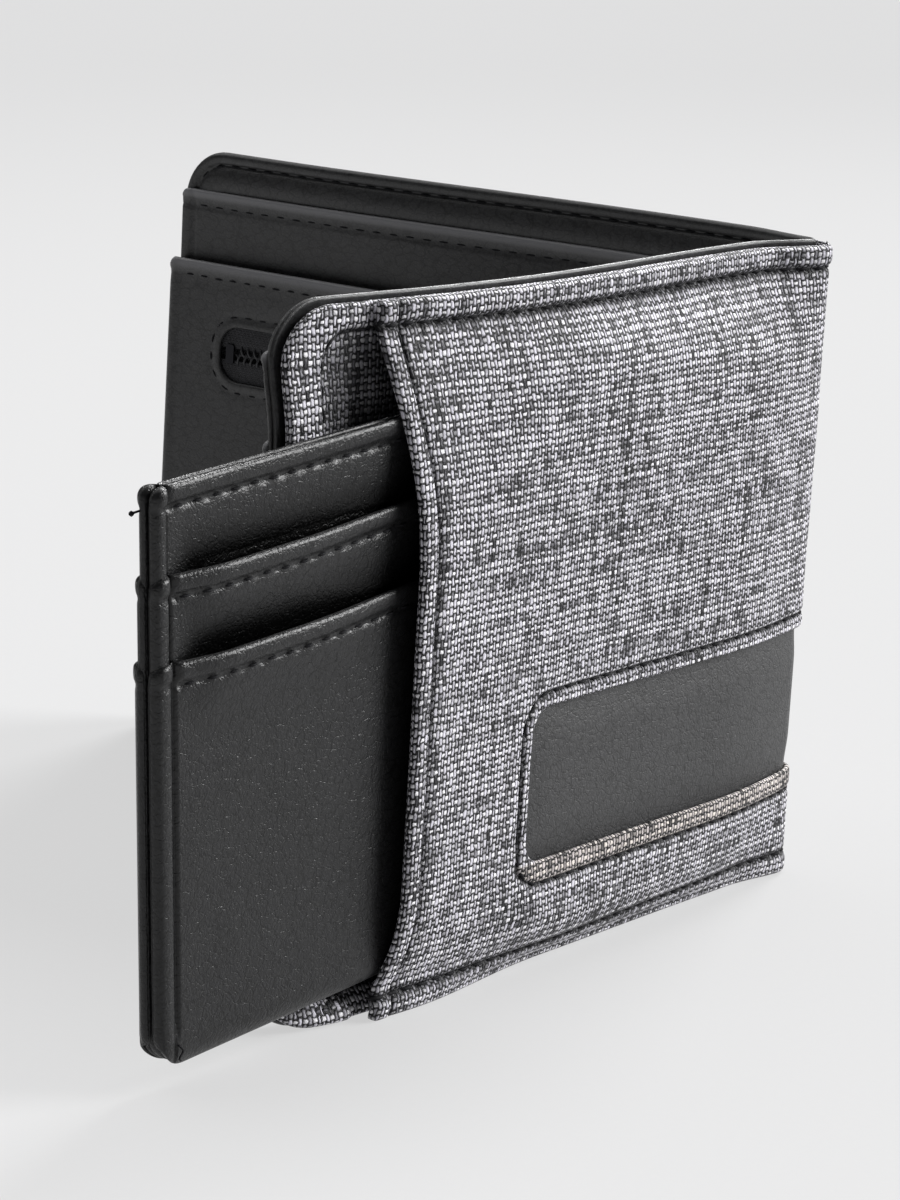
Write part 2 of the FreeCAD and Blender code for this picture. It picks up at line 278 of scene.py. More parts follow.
def round_corners(low, high, radii):
    """A warp that turns a grid's square corners into arcs. Radii run anticlockwise from the low corner."""
    signs = ((-1, -1), (1, -1), (1, 1), (-1, 1))

    def warp(u, v):
        u, v = u.copy(), v.copy()
        for r, (su, sv) in zip(radii, signs):
            if r <= 0:
                continue
            cu = (high[0] if su > 0 else low[0]) - su * r
            cv = (high[1] if sv > 0 else low[1]) - sv * r
            x, y = (u - cu) * su / r, (v - cv) * sv / r
            hit = (x > 0) & (y > 0)
            u[hit] = (cu + su * r * x * np.sqrt(np.maximum(1 - y * y / 2, 0)))[hit]
            v[hit] = (cv + sv * r * y * np.sqrt(np.maximum(1 - x * x / 2, 0)))[hit]
        return u, v

    return warp


def round_hole(low, high, r, fade=6.0):
    """A warp that moves the grid round a square hole, so that the hole's corners are arcs."""
    def slide(u, v, cu, cv, su, sv):
        """The move of a point of the hole's edge near one corner, where su and sv point into the hole."""
        a, b = np.clip((u - cu) * su, 0, r), np.clip((v - cv) * sv, 0, r)
        on_flat = b <= 1e-9
        angle = np.where(on_flat, math.pi / 4 * (1 - a / r), math.pi / 4 * (1 + b / r))
        to_u = cu + su * r * (1 - np.sin(angle))
        to_v = cv + sv * r * (1 - np.cos(angle))
        return to_u - (cu + su * a), to_v - (cv + sv * b)

    def warp(u, v):
        near_u, near_v = np.clip(u, low[0], high[0]), np.clip(v, low[1], high[1])
        gap = np.hypot(u - near_u, v - near_v)
        share = np.clip(1 - gap / fade, 0, 1) ** 2
        new_u, new_v = u.copy(), v.copy()
        for cu, su in ((low[0], 1), (high[0], -1)):
            for cv, sv in ((low[1], 1), (high[1], -1)):
                hit = ((near_u - cu) * su < r) & ((near_v - cv) * sv < r)
                move_u, move_v = slide(near_u, near_v, cu, cv, su, sv)
                new_u[hit] += (move_u * share)[hit]
                new_v[hit] += (move_v * share)[hit]
        return new_u, new_v

    return warp


def make_mesh(name, points, faces, material, fields=None):
    """An object with a mesh of points in millimetres, smooth faces and named point attributes."""
    mesh = bpy.data.meshes.new(name)
    mesh.from_pydata((np.asarray(points) / 1000).tolist(), [], [list(map(int, f)) for f in faces])
    mesh.polygons.foreach_set("use_smooth", np.ones(len(mesh.polygons), dtype=bool))
    for key, values in (fields or {}).items():
        values = np.asarray(values, np.float32)
        kind = "FLOAT_VECTOR" if values.ndim == 2 else "FLOAT"
        attribute = mesh.attributes.new(key, kind, "POINT")
        attribute.data.foreach_set("vector" if values.ndim == 2 else "value", values.ravel())
    mesh.materials.append(material)
    mesh.update()
    obj = bpy.data.objects.new(name, mesh)
    bpy.context.scene.collection.objects.link(obj)
    return obj


def sheet_piece(name, us, vs, warp, edge, depths, place, material, hole=None, shades=None):
    """A closed sheet over a grid: two faces at the given depths that meet in a round edge.

    edge gives the distance to the nearest edge, depths the outer and inner depth before the edge is rounded.
    """
    u, v = np.meshgrid(us, vs, indexing="ij")
    cells = np.ones((len(us) - 1, len(vs) - 1), bool)
    if hole:
        mid_u, mid_v = (us[1:] + us[:-1]) / 2, (vs[1:] + vs[:-1]) / 2
        in_u = (mid_u > hole[0][0]) & (mid_u < hole[1][0])
        in_v = (mid_v > hole[0][1]) & (mid_v < hole[1][1])
        cells &= ~(in_u[:, None] & in_v[None, :])
    u, v = warp(u, v)
    padded = np.pad(cells.astype(int), 1)
    touching = padded[1:, 1:] + padded[:-1, 1:] + padded[1:, :-1] + padded[:-1, :-1]
    used, rim = touching > 0, (touching > 0) & (touching < 4)
    gap = np.where(rim, 0, np.maximum(edge(u, v), 0.0))
    outer, inner = depths(u, v)
    half, middle = (inner - outer) / 2, (inner + outer) / 2
    x = np.clip(gap / np.maximum(half, 1e-3), 0, 1)
    swell = np.sqrt(1 - (1 - x) ** 2)
    swell = np.where(rim, 0, np.maximum(swell, 0.05))
    front, back = place(u, v, middle - half * swell), place(u, v, middle + half * swell)
    # the weave runs on round the thickness of the edge
    run = half * (1 - swell) * 1.3
    lean_u = (edge(u + 0.05, v) - edge(u - 0.05, v)) * 10
    lean_v = (edge(u, v + 0.05) - edge(u, v - 0.05)) * 10
    lay_u, lay_v = u - run * np.clip(lean_u, -1, 1), v - run * np.clip(lean_v, -1, 1)
    body = used & ~rim
    first = np.cumsum(used.ravel()).reshape(used.shape) - 1
    second = np.where(body, np.cumsum(body.ravel()).reshape(used.shape) - 1 + used.sum(), first)
    i, j = np.nonzero(cells)
    outside = np.stack([first[i, j], first[i + 1, j], first[i + 1, j + 1], first[i, j + 1]], -1)
    within = np.stack([second[i, j], second[i, j + 1], second[i + 1, j + 1], second[i + 1, j]], -1)
    points = np.concatenate([front[used], back[body]])
    lay = np.concatenate([
        np.stack([lay_u[used], lay_v[used], np.zeros(used.sum())], -1),
        np.stack([lay_u[body], lay_v[body], np.ones(body.sum())], -1),
    ])
    fields = {"lay": lay, "rim": np.concatenate([gap[used], gap[body]])}
    for key, shade_of in (shades or {}).items():
        shade = shade_of(u, v)
        fields[key] = np.concatenate([shade[used], shade[body]])
    return make_mesh(name, points, np.concatenate([outside, within]), material, fields)


def sweep(points, normals, radii, ring=6, flat=1.0):
    """Closed tubes along many lines at once: points and normals are (count, steps, 3), radii (steps,)."""
    tangent = np.gradient(points, axis=1)
    tangent /= np.linalg.norm(tangent, axis=-1, keepdims=True)
    side = np.cross(tangent, normals)
    side /= np.linalg.norm(side, axis=-1, keepdims=True)
    up = np.cross(side, tangent)
    count, steps = points.shape[:2]
    turn = 2 * math.pi * np.arange(ring) / ring
    wide = np.asarray(radii).reshape(1, -1, 1, 1)
    rings = points[:, :, None] + wide * (
        side[:, :, None] * np.cos(turn)[None, None, :, None]
        + up[:, :, None] * (flat * np.sin(turn))[None, None, :, None]
    )
    k = np.arange(ring)
    faces = []
    for n in range(steps - 1):
        a, b = n * ring + k, n * ring + (k + 1) % ring
        faces.append(np.stack([a, a + ring, b + ring, b], -1))
    faces = np.concatenate(faces)
    size = steps * ring
    tubes = (faces[None] + size * np.arange(count)[:, None, None]).reshape(-1, 4)
    caps = []
    for c in range(count):
        caps.append(list(c * size + k))
        caps.append(list(c * size + (steps - 1) * ring + k[::-1]))
    return rings.reshape(-1, 3), tubes.tolist() + caps


def along_path(path, length, gap):
    """Splits a path of (u, v) points into stitches: start positions and lengths along it."""
    path = np.asarray(path, float)
    steps = np.hypot(*np.diff(path, axis=0).T)
    at = np.concatenate([[0], np.cumsum(steps)])
    count = max(1, int(round(at[-1] / (length + gap))))
    pitch = at[-1] / count
    share = np.linspace(0, 1, 7)
    own = pitch * length / (length + gap)
    where = (np.arange(count) * pitch + (pitch - own) / 2)[:, None] + share[None] * own
    return np.interp(where, at, path[:, 0]), np.interp(where, at, path[:, 1])


STITCH_DIP = np.array([0.42, 0.1, -0.05, -0.09, -0.05, 0.1, 0.42])
STITCH_SWELL = np.array([0.5, 0.85, 1.0, 1.0, 1.0, 0.85, 0.5])


def stitches(name, paths, surface, place, material, length=2.5, gap=0.5, radius=0.17, inward=1.0, seed=1):
    """Sewing thread along paths of (u, v): each stitch rises out of the cloth and dips back in.

    surface gives the depth of the cloth's face, and inward is 1 where the cloth lies at greater depths.
    """
    rng = np.random.default_rng(seed)
    u, v = [np.concatenate(x) for x in zip(*[along_path(p, length, gap) for p in paths])]
    u = u + rng.normal(0, 0.035, (len(u), 1))
    v = v + rng.normal(0, 0.035, (len(v), 1))
    face = surface(u, v)
    lift = rng.normal(0, 0.02, (len(u), 1))
    depth = face + inward * (STITCH_DIP + lift) * (radius / 0.17)
    points = place(u, v, depth)
    normals = place(u, v, depth - inward) - points
    normals /= np.linalg.norm(normals, axis=-1, keepdims=True)
    mesh_points, faces = sweep(points, normals, radius * STITCH_SWELL)
    return make_mesh(name, mesh_points, faces, material)


def arc_path(low, high, radii, parts):
    """The outline of a rounded rectangle, anticlockwise from the low corner, as a closed path of points."""
    corners = ((low[0], low[1]), (high[0], low[1]), (high[0], high[1]), (low[0], high[1]))
    signs = ((1, 1), (-1, 1), (-1, -1), (1, -1))
    path = []
    for (cu, cv), (su, sv), r, start in zip(corners, signs, radii, (180, 270, 0, 90)):
        for k in range(parts + 1):
            angle = math.radians(start + 90 * k / parts)
            path.append((cu + su * r + r * math.cos(angle), cv + sv * r + r * math.sin(angle)))
    return path


# ---------------------------------------------------------------- materials

def new_material(name):
    material = bpy.data.materials.new(name)
    material.use_nodes = True
    tree = material.node_tree
    return material, tree, tree.nodes["Principled BSDF"]


class Graph:
    """Short ways to add shader nodes."""

    def __init__(self, tree):
        self.tree = tree

    def node(self, kind, **values):
        made = self.tree.nodes.new("ShaderNode" + kind)
        for key, value in values.items():
            setattr(made, key, value)
        return made

    def put(self, socket, value):
        if isinstance(value, bpy.types.NodeSocket):
            self.tree.links.new(value, socket)
        else:
            socket.default_value = value

    def math(self, operation, a, b=0.0, c=0.0):
        made = self.node("Math", operation=operation)
        for socket, value in zip(made.inputs, (a, b, c)):
            self.put(socket, value)
        return made.outputs[0]

    def plus(self, a, b):
        return self.math("ADD", a, b)

    def minus(self, a, b):
        return self.math("SUBTRACT", a, b)

    def times(self, a, b):
        return self.math("MULTIPLY", a, b)

    def over(self, a, b):
        return self.math("DIVIDE", a, b)

    def times_plus(self, a, b, c):
        return self.math("MULTIPLY_ADD", a, b, c)

    def mix(self, factor, a, b, blend="MIX"):
        made = self.node("Mix", data_type="RGBA", blend_type=blend, clamp_factor=True)
        self.put(made.inputs["Factor"], factor)
        self.put(made.inputs[6], a)
        self.put(made.inputs[7], b)
        return made.outputs[2]

    def ramp(self, value, low, high, to_low=0.0, to_high=1.0, kind="SMOOTHSTEP"):
        made = self.node("MapRange", interpolation_type=kind)
        for key, given in zip(("Value", "From Min", "From Max", "To Min", "To Max"),
                              (value, low, high, to_low, to_high)):
            self.put(made.inputs[key], given)
        return made.outputs[0]

    def attribute(self, name):
        return self.node("Attribute", attribute_name=name)

    def noise(self, vector, scale, detail=2.0, roughness=0.5, distortion=0.0):
        made = self.node("TexNoise")
        self.put(made.inputs["Vector"], vector)
        self.put(made.inputs["Scale"], scale)
        self.put(made.inputs["Detail"], detail)
        self.put(made.inputs["Roughness"], roughness)
        self.put(made.inputs["Distortion"], distortion)
        return made.outputs["Fac"]

    def voronoi(self, vector, scale, feature="DISTANCE_TO_EDGE", randomness=1.0):
        made = self.node("TexVoronoi", feature=feature)
        self.put(made.inputs["Vector"], vector)
        self.put(made.inputs["Scale"], scale)
        self.put(made.inputs["Randomness"], randomness)
        return made.outputs["Distance"]

    def random(self, x, y=0.0):
        """A random value for whole numbers x and y."""
        joined = self.join(x, y, 0.0)
        made = self.node("TexWhiteNoise", noise_dimensions="3D")
        self.put(made.inputs["Vector"], joined)
        return made.outputs["Value"]

    def join(self, x, y, z):
        made = self.node("CombineXYZ")
        for socket, value in zip(made.inputs, (x, y, z)):
            self.put(socket, value)
        return made.outputs[0]

    def split(self, vector):
        made = self.node("SeparateXYZ")
        self.put(made.inputs[0], vector)
        return made.outputs

    def scaled(self, vector, factors):
        made = self.node("VectorMath", operation="MULTIPLY")
        self.put(made.inputs[0], vector)
        made.inputs[1].default_value = factors
        return made.outputs[0]

    def moved(self, vector, shift):
        made = self.node("VectorMath", operation="ADD")
        self.put(made.inputs[0], vector)
        made.inputs[1].default_value = shift
        return made.outputs[0]

    def bumped(self, height, strength, distance, normal=None):
        made = self.node("Bump")
        made.inputs["Strength"].default_value = strength
        made.inputs["Distance"].default_value = distance
        self.put(made.inputs["Height"], height)
        if normal is not None:
            self.put(made.inputs["Normal"], normal)
        return made.outputs[0]


WARP_PITCH = 0.68
WEFT_PITCH = 0.95
WARP_DARK, WARP_LIGHT = (0.018, 0.0175, 0.021, 1), (0.63, 0.615, 0.68, 1)
WEFT_DARK, WEFT_LIGHT = (0.07, 0.068, 0.080, 1), (0.83, 0.82, 0.85, 1)


def fabric_material(name):
    """Plain weave of pale weft over longer, darker warp floats, with slubs, gaps and a tone for each yarn."""
    material, tree, shader = new_material(name)
    g = Graph(tree)
    lay = g.split(g.attribute("lay").outputs["Vector"])
    place = g.join(lay[0], lay[1], 0.0)
    beige = g.attribute("beige").outputs["Fac"]
    seam = g.attribute("seam").outputs["Fac"]
    stray_u = g.minus(g.noise(place, 0.30, 2.0), 0.5)
    stray_v = g.minus(g.noise(place, 0.17, 1.0), 0.5)
    jitter = g.minus(g.noise(place, 1.6, 1.0), 0.5)
    bent_u = g.times_plus(stray_u, 0.8, g.times_plus(jitter, 0.34, lay[0]))
    bent_v = g.times_plus(stray_v, 0.7, g.times_plus(jitter, 0.30, lay[1]))
    x, y = g.over(bent_u, WARP_PITCH), g.over(bent_v, WEFT_PITCH)
    column, row = g.math("FLOOR", x), g.math("FLOOR", y)
    across_x = g.minus(g.math("FRACT", x), 0.5)
    across_y = g.minus(g.math("FRACT", y), 0.5)
    slub_warp = g.noise(g.join(g.times(column, 3.7), g.times(y, 0.20), 5.0), 1.0, 2.0)
    slub_weft = g.noise(g.join(g.times(x, 0.12), g.times(row, 4.3), 9.0), 1.0, 2.0)
    warp_half = g.ramp(slub_warp, 0.3, 0.7, 0.22, 0.52)
    weft_half = g.ramp(slub_weft, 0.3, 0.7, 0.20, 0.36)

    def wave(along, number, phase, sharp):
        """The over-and-under wave of a yarn."""
        turn = g.times(g.plus(along, g.plus(number, phase)), math.pi)
        steep = g.times(g.math("COSINE", turn), sharp)
        return g.math("MAXIMUM", g.math("MINIMUM", steep, 1.0), -1.0)

    warp_wave = wave(y, column, 0.5, 1.9)
    weft_wave = wave(x, row, -0.5, 1.3)

    def crown(across, half_width):
        """The round section of a yarn."""
        share = g.over(across, half_width)
        rest = g.math("MAXIMUM", g.minus(1.0, g.times(share, share)), 0.0)
        return g.math("SQRT", rest)

    warp_high = g.times(crown(across_x, warp_half), g.times_plus(warp_wave, 0.46, 0.54))
    weft_high = g.times(crown(across_y, weft_half), g.times_plus(weft_wave, 0.60, 0.50))
    height = g.math("MAXIMUM", warp_high, weft_high)
    on_top = g.ramp(g.minus(weft_high, warp_high), -0.04, 0.04)
    # one tone a yarn, slubs along it, and slow streaks over many yarns
    cell = g.random(column, g.plus(row, 0.5))
    streak_v = g.noise(g.join(g.times(lay[0], 0.55), g.times(lay[1], 0.045), 3.0), 1.0, 3.0)
    streak_h = g.noise(g.join(g.times(lay[0], 0.045), g.times(lay[1], 0.55), 8.0), 1.0, 3.0)
    streak = g.plus(streak_v, streak_h)
    warp_mix = g.plus(g.times(g.random(column, 7.0), 0.30),
                      g.plus(g.times(slub_warp, 0.75), g.times(cell, 0.35)))
    warp_mix = g.times_plus(streak, 0.85, warp_mix)
    weft_mix = g.plus(g.times(g.random(row, 19.0), 0.40),
                      g.plus(g.times(slub_weft, 0.75), g.times(cell, 0.40)))
    weft_mix = g.times_plus(streak, 0.60, weft_mix)
    warp_colour = g.mix(g.ramp(warp_mix, 1.12, 1.74), WARP_DARK, WARP_LIGHT)
    weft_colour = g.mix(g.ramp(weft_mix, 0.82, 1.54), WEFT_DARK, WEFT_LIGHT)
    colour = g.mix(on_top, warp_colour, weft_colour)
    # painted shade: below the yarn crowns the colour goes to near black, in the gaps between yarns and down
    # their sides
    fibre = g.noise(g.join(g.times(x, 5.0), g.times(y, 4.0), 0.0), 1.0, 2.0)
    ragged = g.times_plus(g.minus(fibre, 0.5), 0.6, height)
    shade = g.ramp(ragged, 0.24, 0.82, 0.004, 1.0)
    colour = g.mix(shade, (0.003, 0.003, 0.004, 1), colour)
    warm = g.mix(1.0, colour, (0.94, 0.875, 0.78, 1), "MULTIPLY")
    colour = g.mix(beige, colour, warm)
    # painted shade: the seam field darkens the weave to near black along the sewn grooves, and over the
    # shell's cloth beside the pocket's mouth
    g.put(shader.inputs["Base Color"], g.mix(seam, colour, (0.004, 0.004, 0.005, 1)))
    shader.inputs["Roughness"].default_value = 0.50
    shader.inputs["Sheen Weight"].default_value = 0.03
    shader.inputs["Sheen Roughness"].default_value = 0.4
    shader.inputs["Specular IOR Level"].default_value = 0.22
    rough_height = g.times_plus(fibre, 0.25, height)
    g.put(shader.inputs["Normal"], g.bumped(rough_height, 1.0, 0.00026))
    return material


def leather_material(name, tone, pebble, rough, grain, crease, relief, specular):
    """Imitation leather: a pebble grain of irregular cells with fine creases, and uneven polish."""
    material, tree, shader = new_material(name)
    g = Graph(tree)
    lay = g.split(g.attribute("lay").outputs["Vector"])
    place = g.join(lay[0], lay[1], g.times(lay[2], 31.0))
    wander = g.node("TexNoise")
    g.put(wander.inputs["Vector"], place)
    wander.inputs["Scale"].default_value = 0.9
    wander.inputs["Detail"].default_value = 2.0
    shift = g.node("VectorMath", operation="MULTIPLY_ADD")
    g.put(shift.inputs[0], wander.outputs["Color"])
    shift.inputs[1].default_value = (1.1, 1.1, 1.1)
    g.put(shift.inputs[2], place)
    bent = shift.outputs[0]
    pebbles = g.ramp(g.voronoi(bent, pebble), 0.0, 0.28)
    small = g.ramp(g.voronoi(bent, pebble * 2.3), 0.0, 0.35)
    creases = g.ramp(g.voronoi(g.scaled(bent, (0.62, 1.0, 1.0)), 0.70), 0.0, 0.10)
    slack = g.noise(g.scaled(place, (1.0, 0.55, 1.0)), 0.35, 3.0, 0.6)
    fine = g.noise(place, 9.0, 3.0, 0.6)
    slow = g.noise(place, 0.12, 3.0, 0.6)
    height = g.times_plus(pebbles, 0.40 * grain, g.times(creases, 0.75 * crease))
    height = g.times_plus(small, 0.16 * grain, height)
    height = g.times_plus(fine, 0.06, height)
    height = g.times_plus(slack, 1.8 * crease, height)
    low = tuple(c * 0.15 for c in tone) + (1,)
    high = tuple(c * 1.25 for c in tone) + (1,)
    # painted shade: the colour darkens in the valleys round the pebbles and in the crease lines; the slow
    # noise adds a random tone
    shade = g.times_plus(slow, 0.3, g.times_plus(pebbles, 0.3, g.times(creases, 0.4)))
    deep = g.attribute("deep").outputs["Fac"]
    painted_highlight = g.attribute("painted_highlight").outputs["Fac"]
    # painted highlight: the base colour turns pale grey along rolled rims
    colour = g.mix(painted_highlight, g.mix(shade, low, high), (0.2, 0.2, 0.21, 1))
    # painted shade: above each slot's edge the colour goes black and the metallic rises, so the leather there
    # neither scatters nor reflects light
    g.put(shader.inputs["Base Color"], g.mix(deep, colour, (0.001, 0.001, 0.001, 1)))
    g.put(shader.inputs["Metallic"], g.times(deep, 0.85))
    polish = g.times_plus(g.noise(place, 0.5, 3.0, 0.6), 0.5, g.times(fine, 0.5))
    g.put(shader.inputs["Roughness"], g.ramp(polish, 0.3, 0.7, rough[0], rough[1], "LINEAR"))
    shader.inputs["Specular IOR Level"].default_value = specular
    g.put(shader.inputs["Normal"], g.bumped(height, 0.8, relief))
    return material


def object_place(g):
    """The object's own coordinates in millimetres."""
    return g.scaled(g.node("TexCoord").outputs["Object"], (1000, 1000, 1000))


def thread_material():
    material, tree, shader = new_material("thread_black")
    g = Graph(tree)
    place = object_place(g)
    twist = g.noise(place, 7.0, 2.0)
    g.put(shader.inputs["Base Color"], g.mix(twist, (0.003, 0.003, 0.004, 1), (0.014, 0.014, 0.016, 1)))
    shader.inputs["Roughness"].default_value = 0.7
    shader.inputs["Specular IOR Level"].default_value = 0.12
    g.put(shader.inputs["Normal"], g.bumped(twist, 0.6, 0.0001))
    return material


def cloth_material(name, dark, light, pitch, twill=0.0):
    """Close woven cloth, for the pouch and the zip's tapes."""
    material, tree, shader = new_material(name)
    g = Graph(tree)
    lay = g.split(g.attribute("lay").outputs["Vector"])
    x = g.over(g.times_plus(lay[1], twill, lay[0]), pitch)
    y = g.over(lay[1], pitch)
    column, row = g.math("FLOOR", x), g.math("FLOOR", y)
    parity = g.math("FLOORED_MODULO", g.plus(column, row), 2.0)
    hill_x = g.math("SINE", g.times(g.math("FRACT", x), math.pi))
    hill_y = g.math("SINE", g.times(g.math("FRACT", y), math.pi))
    height = g.plus(g.times(hill_x, parity),
                    g.times(hill_y, g.minus(1.0, parity)))
    # a random tone for each yarn, with painted shade that darkens the hollows between the yarns' crowns
    tone = g.times_plus(g.random(column, row), 0.4, g.times(height, 0.6))
    g.put(shader.inputs["Base Color"], g.mix(tone, dark, light))
    shader.inputs["Roughness"].default_value = 0.8
    g.put(shader.inputs["Normal"], g.bumped(height, 0.8, 0.0001))
    return material


def plain_material(name, dark, light, rough, scale, metal=0.0):
    """A moulded or cast surface with a fine uneven grain."""
    material, tree, shader = new_material(name)
    g = Graph(tree)
    place = object_place(g)
    grain = g.noise(place, scale, 4.0, 0.6)
    g.put(shader.inputs["Base Color"], g.mix(grain, dark, light))
    g.put(shader.inputs["Roughness"], g.ramp(grain, 0.3, 0.7, rough[0], rough[1], "LINEAR"))
    shader.inputs["Metallic"].default_value = metal
    g.put(shader.inputs["Normal"], g.bumped(grain, 0.3, 0.00005))
    return material


FABRIC = fabric_material("grey_weave")
WINDOW_LEATHER = leather_material("window_leather", (0.032, 0.032, 0.033), pebble=1.4, rough=(0.44, 0.56),
                                  grain=1.0, crease=0.4, relief=0.00007, specular=0.38)
LINING_LEATHER = leather_material("lining_leather", (0.028, 0.028, 0.029), pebble=1.9, rough=(0.34, 0.46),
                                  grain=0.7, crease=0.12, relief=0.00005, specular=0.4)
HOLDER_LEATHER = leather_material("holder_leather", (0.013, 0.0131, 0.0137), pebble=1.5, rough=(0.29, 0.37),
                                  grain=1.0, crease=0.4, relief=0.000068, specular=0.29)
THREAD = thread_material()
POUCH = cloth_material("pouch_weave", (0.01, 0.01, 0.011, 1), (0.05, 0.05, 0.055, 1), 0.3)
TAPE = cloth_material("zip_tape_weave", (0.006, 0.006, 0.007, 1), (0.032, 0.032, 0.036, 1), 0.34, twill=0.5)
NYLON = plain_material("coil_nylon", (0.006, 0.006, 0.008, 1), (0.014, 0.014, 0.017, 1), (0.42, 0.55), 2.0)
METAL = plain_material("gunmetal", (0.012, 0.012, 0.014, 1), (0.030, 0.030, 0.033, 1), (0.34, 0.5), 1.2,
                       metal=1.0)
BOARD = plain_material("grey_board", (0.10, 0.095, 0.085, 1), (0.17, 0.16, 0.15, 1), (0.8, 0.95), 3.0)


# ---------------------------------------------------------------- fabric and leather of the two halves

BLEND_START = Vector(spot(np.array(front_u(STRIP_END)), np.array(0.0), np.array(0.0))) / 1000
BLEND_END = Vector(spot(np.array(back_u(STRIP_END)), np.array(0.0), np.array(0.0))) / 1000
BLEND_START.z = BLEND_END.z = HEIGHT / 2000


def round_spine(obj, slot, *nodes):
    """Hangs a piece on the front half, with its transform baked in, and hides the CAD parts it stands for."""
    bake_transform(obj)
    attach(obj, "front_half")
    if nodes:
        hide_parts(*nodes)
    return obj


def carried(obj, body, slot, *nodes):
    """Lets a piece ride on a body and hides the CAD parts it stands for."""
    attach(obj, body)
    if nodes:
        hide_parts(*nodes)
    return obj


HEM = 3.1
WINDOW = ((front_u(WINDOW_END), WINDOW_LOW), (back_u(WINDOW_END), WINDOW_HIGH))
FABRIC_LOW, FABRIC_HIGH = (front_u(MOUTH), 0.0), (back_u(SIDE), HEIGHT)
FABRIC_RADII = (1.0, CORNER_R, CORNER_R, 0.6)


def from_window(u, v):
    return -inside(u, v, *WINDOW, (WINDOW_R,) * 4)


def fabric_warp(u, v):
    u, v = round_corners(FABRIC_LOW, FABRIC_HIGH, FABRIC_RADII)(u, v)
    u, v = round_hole(*WINDOW, WINDOW_R)(u, v)
    share = smooth((FABRIC_LOW[0] + 20 - u) / 16)
    return u + (mouth_u(v) - FABRIC_LOW[0]) * share, v


def from_mouth(u, v):
    return u - mouth_u(v)


def fabric_edge(u, v):
    sides = inside(u, v, (-400.0, 0.0), FABRIC_HIGH, (0, CORNER_R, CORNER_R, 0))
    return np.minimum(np.minimum(sides, from_mouth(u, v)), np.maximum(from_window(u, v), 0))


def fabric_seams(u, v):
    """Distances to the lines of sewing of the outer fabric."""
    sides = inside(u, v, (-400.0, 0.0), FABRIC_HIGH, (0, CORNER_R, CORNER_R, 0))
    window = from_window(u, v)
    below = smooth((WINDOW_LOW + 1.5 - v) / 2.0)
    return sides - HEM, from_mouth(u, v) - HEM, window - (2.0 + 1.0 * below)


def fabric_groove(u, v):
    """Where the sewing pulls the cloth in, 0 to 1."""
    hem, mouth, window = fabric_seams(u, v)
    return np.minimum(bump(hem, 0, 0.40) + bump(mouth, 0, 0.40) + bump(window, 0, 0.34), 1.0)


def fabric_depths(u, v):
    hem, mouth, window = fabric_seams(u, v)
    groove = 0.44 * fabric_groove(u, v)
    turned = np.maximum.reduce([smooth(-hem / 0.8), smooth(-mouth / 0.8), 0.7 * smooth(-window / 0.6)])
    puff = 0.30 * dome((hem + HEM) / HEM) * (hem < 0) + 0.34 * dome((mouth + HEM) / HEM) * (mouth < 0)
    puff = puff + 0.05 * dome((window + 2.5) / 2.3) * (window < 0)
    soft = 0.10 * ripple(u, v) * smooth(hem / 6)
    outer = bow(u, v) - pocket(u, v) + groove - puff + soft
    inner = bow(u, v) - pocket(u, v) + 0.62 + 0.45 * turned
    return outer, inner


def fabric_face(u, v):
    return fabric_depths(u, v)[0]


def fabric_beige(u, v):
    """The band of cloth under the window, cut from a warmer lot."""
    return smooth((WINDOW_LOW + 0.4 - v) / 0.6) * smooth((3.2 - from_window(u, v)) / 0.6)


def fabric_seam_shade(u, v):
    """Painted shade along a seam, for the weave's colour: the dark of the sewn groove round the thread."""
    hem, mouth, window = fabric_seams(u, v)
    near = np.maximum.reduce([bump(hem, 0.1, 0.62), 0.9 * bump(mouth, 0, 0.42), 0.95 * bump(window, 0, 0.46)])
    return 0.98 * near


def outer_fabric():
    seams_u = (FABRIC_LOW[0] + HEM, WINDOW[0][0] - 2.0, WINDOW[1][0] + 2.0, FABRIC_HIGH[0] - HEM)
    seams_v = (HEM, WINDOW_LOW - 3.0, WINDOW_HIGH + 2.0, HEIGHT - HEM)
    us = lines(FABRIC_LOW[0], FABRIC_HIGH[0], (WINDOW[0][0], 0.0, WINDOW[1][0]), coarse=1.4, seams=seams_u)
    vs = lines(FABRIC_LOW[1], FABRIC_HIGH[1], (WINDOW_LOW, WINDOW_HIGH), 0.4, 1.2, 4.5, seams_v)
    # the seams' painted shade and the beige band go in as fields
    obj = sheet_piece("outer_fabric", us, vs, fabric_warp, fabric_edge, fabric_depths, spot, FABRIC,
                      hole=WINDOW, shades={"beige": fabric_beige, "seam": fabric_seam_shade})
    round_spine(obj, "grey_fabric", "outer_fabric_front", "outer_fabric_back",
                "outer_fabric_spine_lower", "outer_fabric_spine_upper")
    return obj


def leather_band():
    low = (front_u(LEATHER_END), WINDOW_LOW - 3.4)
    high = (back_u(LEATHER_END), WINDOW_HIGH + 3.4)
    us = lines(low[0], high[0], (0.0,), coarse=1.6)
    vs = lines(low[1], high[1], (WINDOW_LOW, WINDOW_HIGH), coarse=1.2, near=2.0)

    def edge(u, v):
        return inside(u, v, low, high, (0.5,) * 4)

    def depths(u, v):
        base = bow(u, v) - pocket(u, v)
        near = smooth((5.0 + from_window(u, v)) / 4.8)
        foot = smooth((WINDOW_LOW + 2.6 - v) / 2.4) * smooth(reach(u) / 20)
        sunk = 0.63 + 0.30 * near + 0.22 * foot
        return base + sunk, base + sunk + 0.42

    obj = sheet_piece("window_leather", us, vs, round_corners(low, high, (0.5,) * 4), edge, depths, spot,
                      WINDOW_LEATHER)
    return round_spine(obj, "black_leather", "window_leather_front", "window_leather_back", "spine_leather")


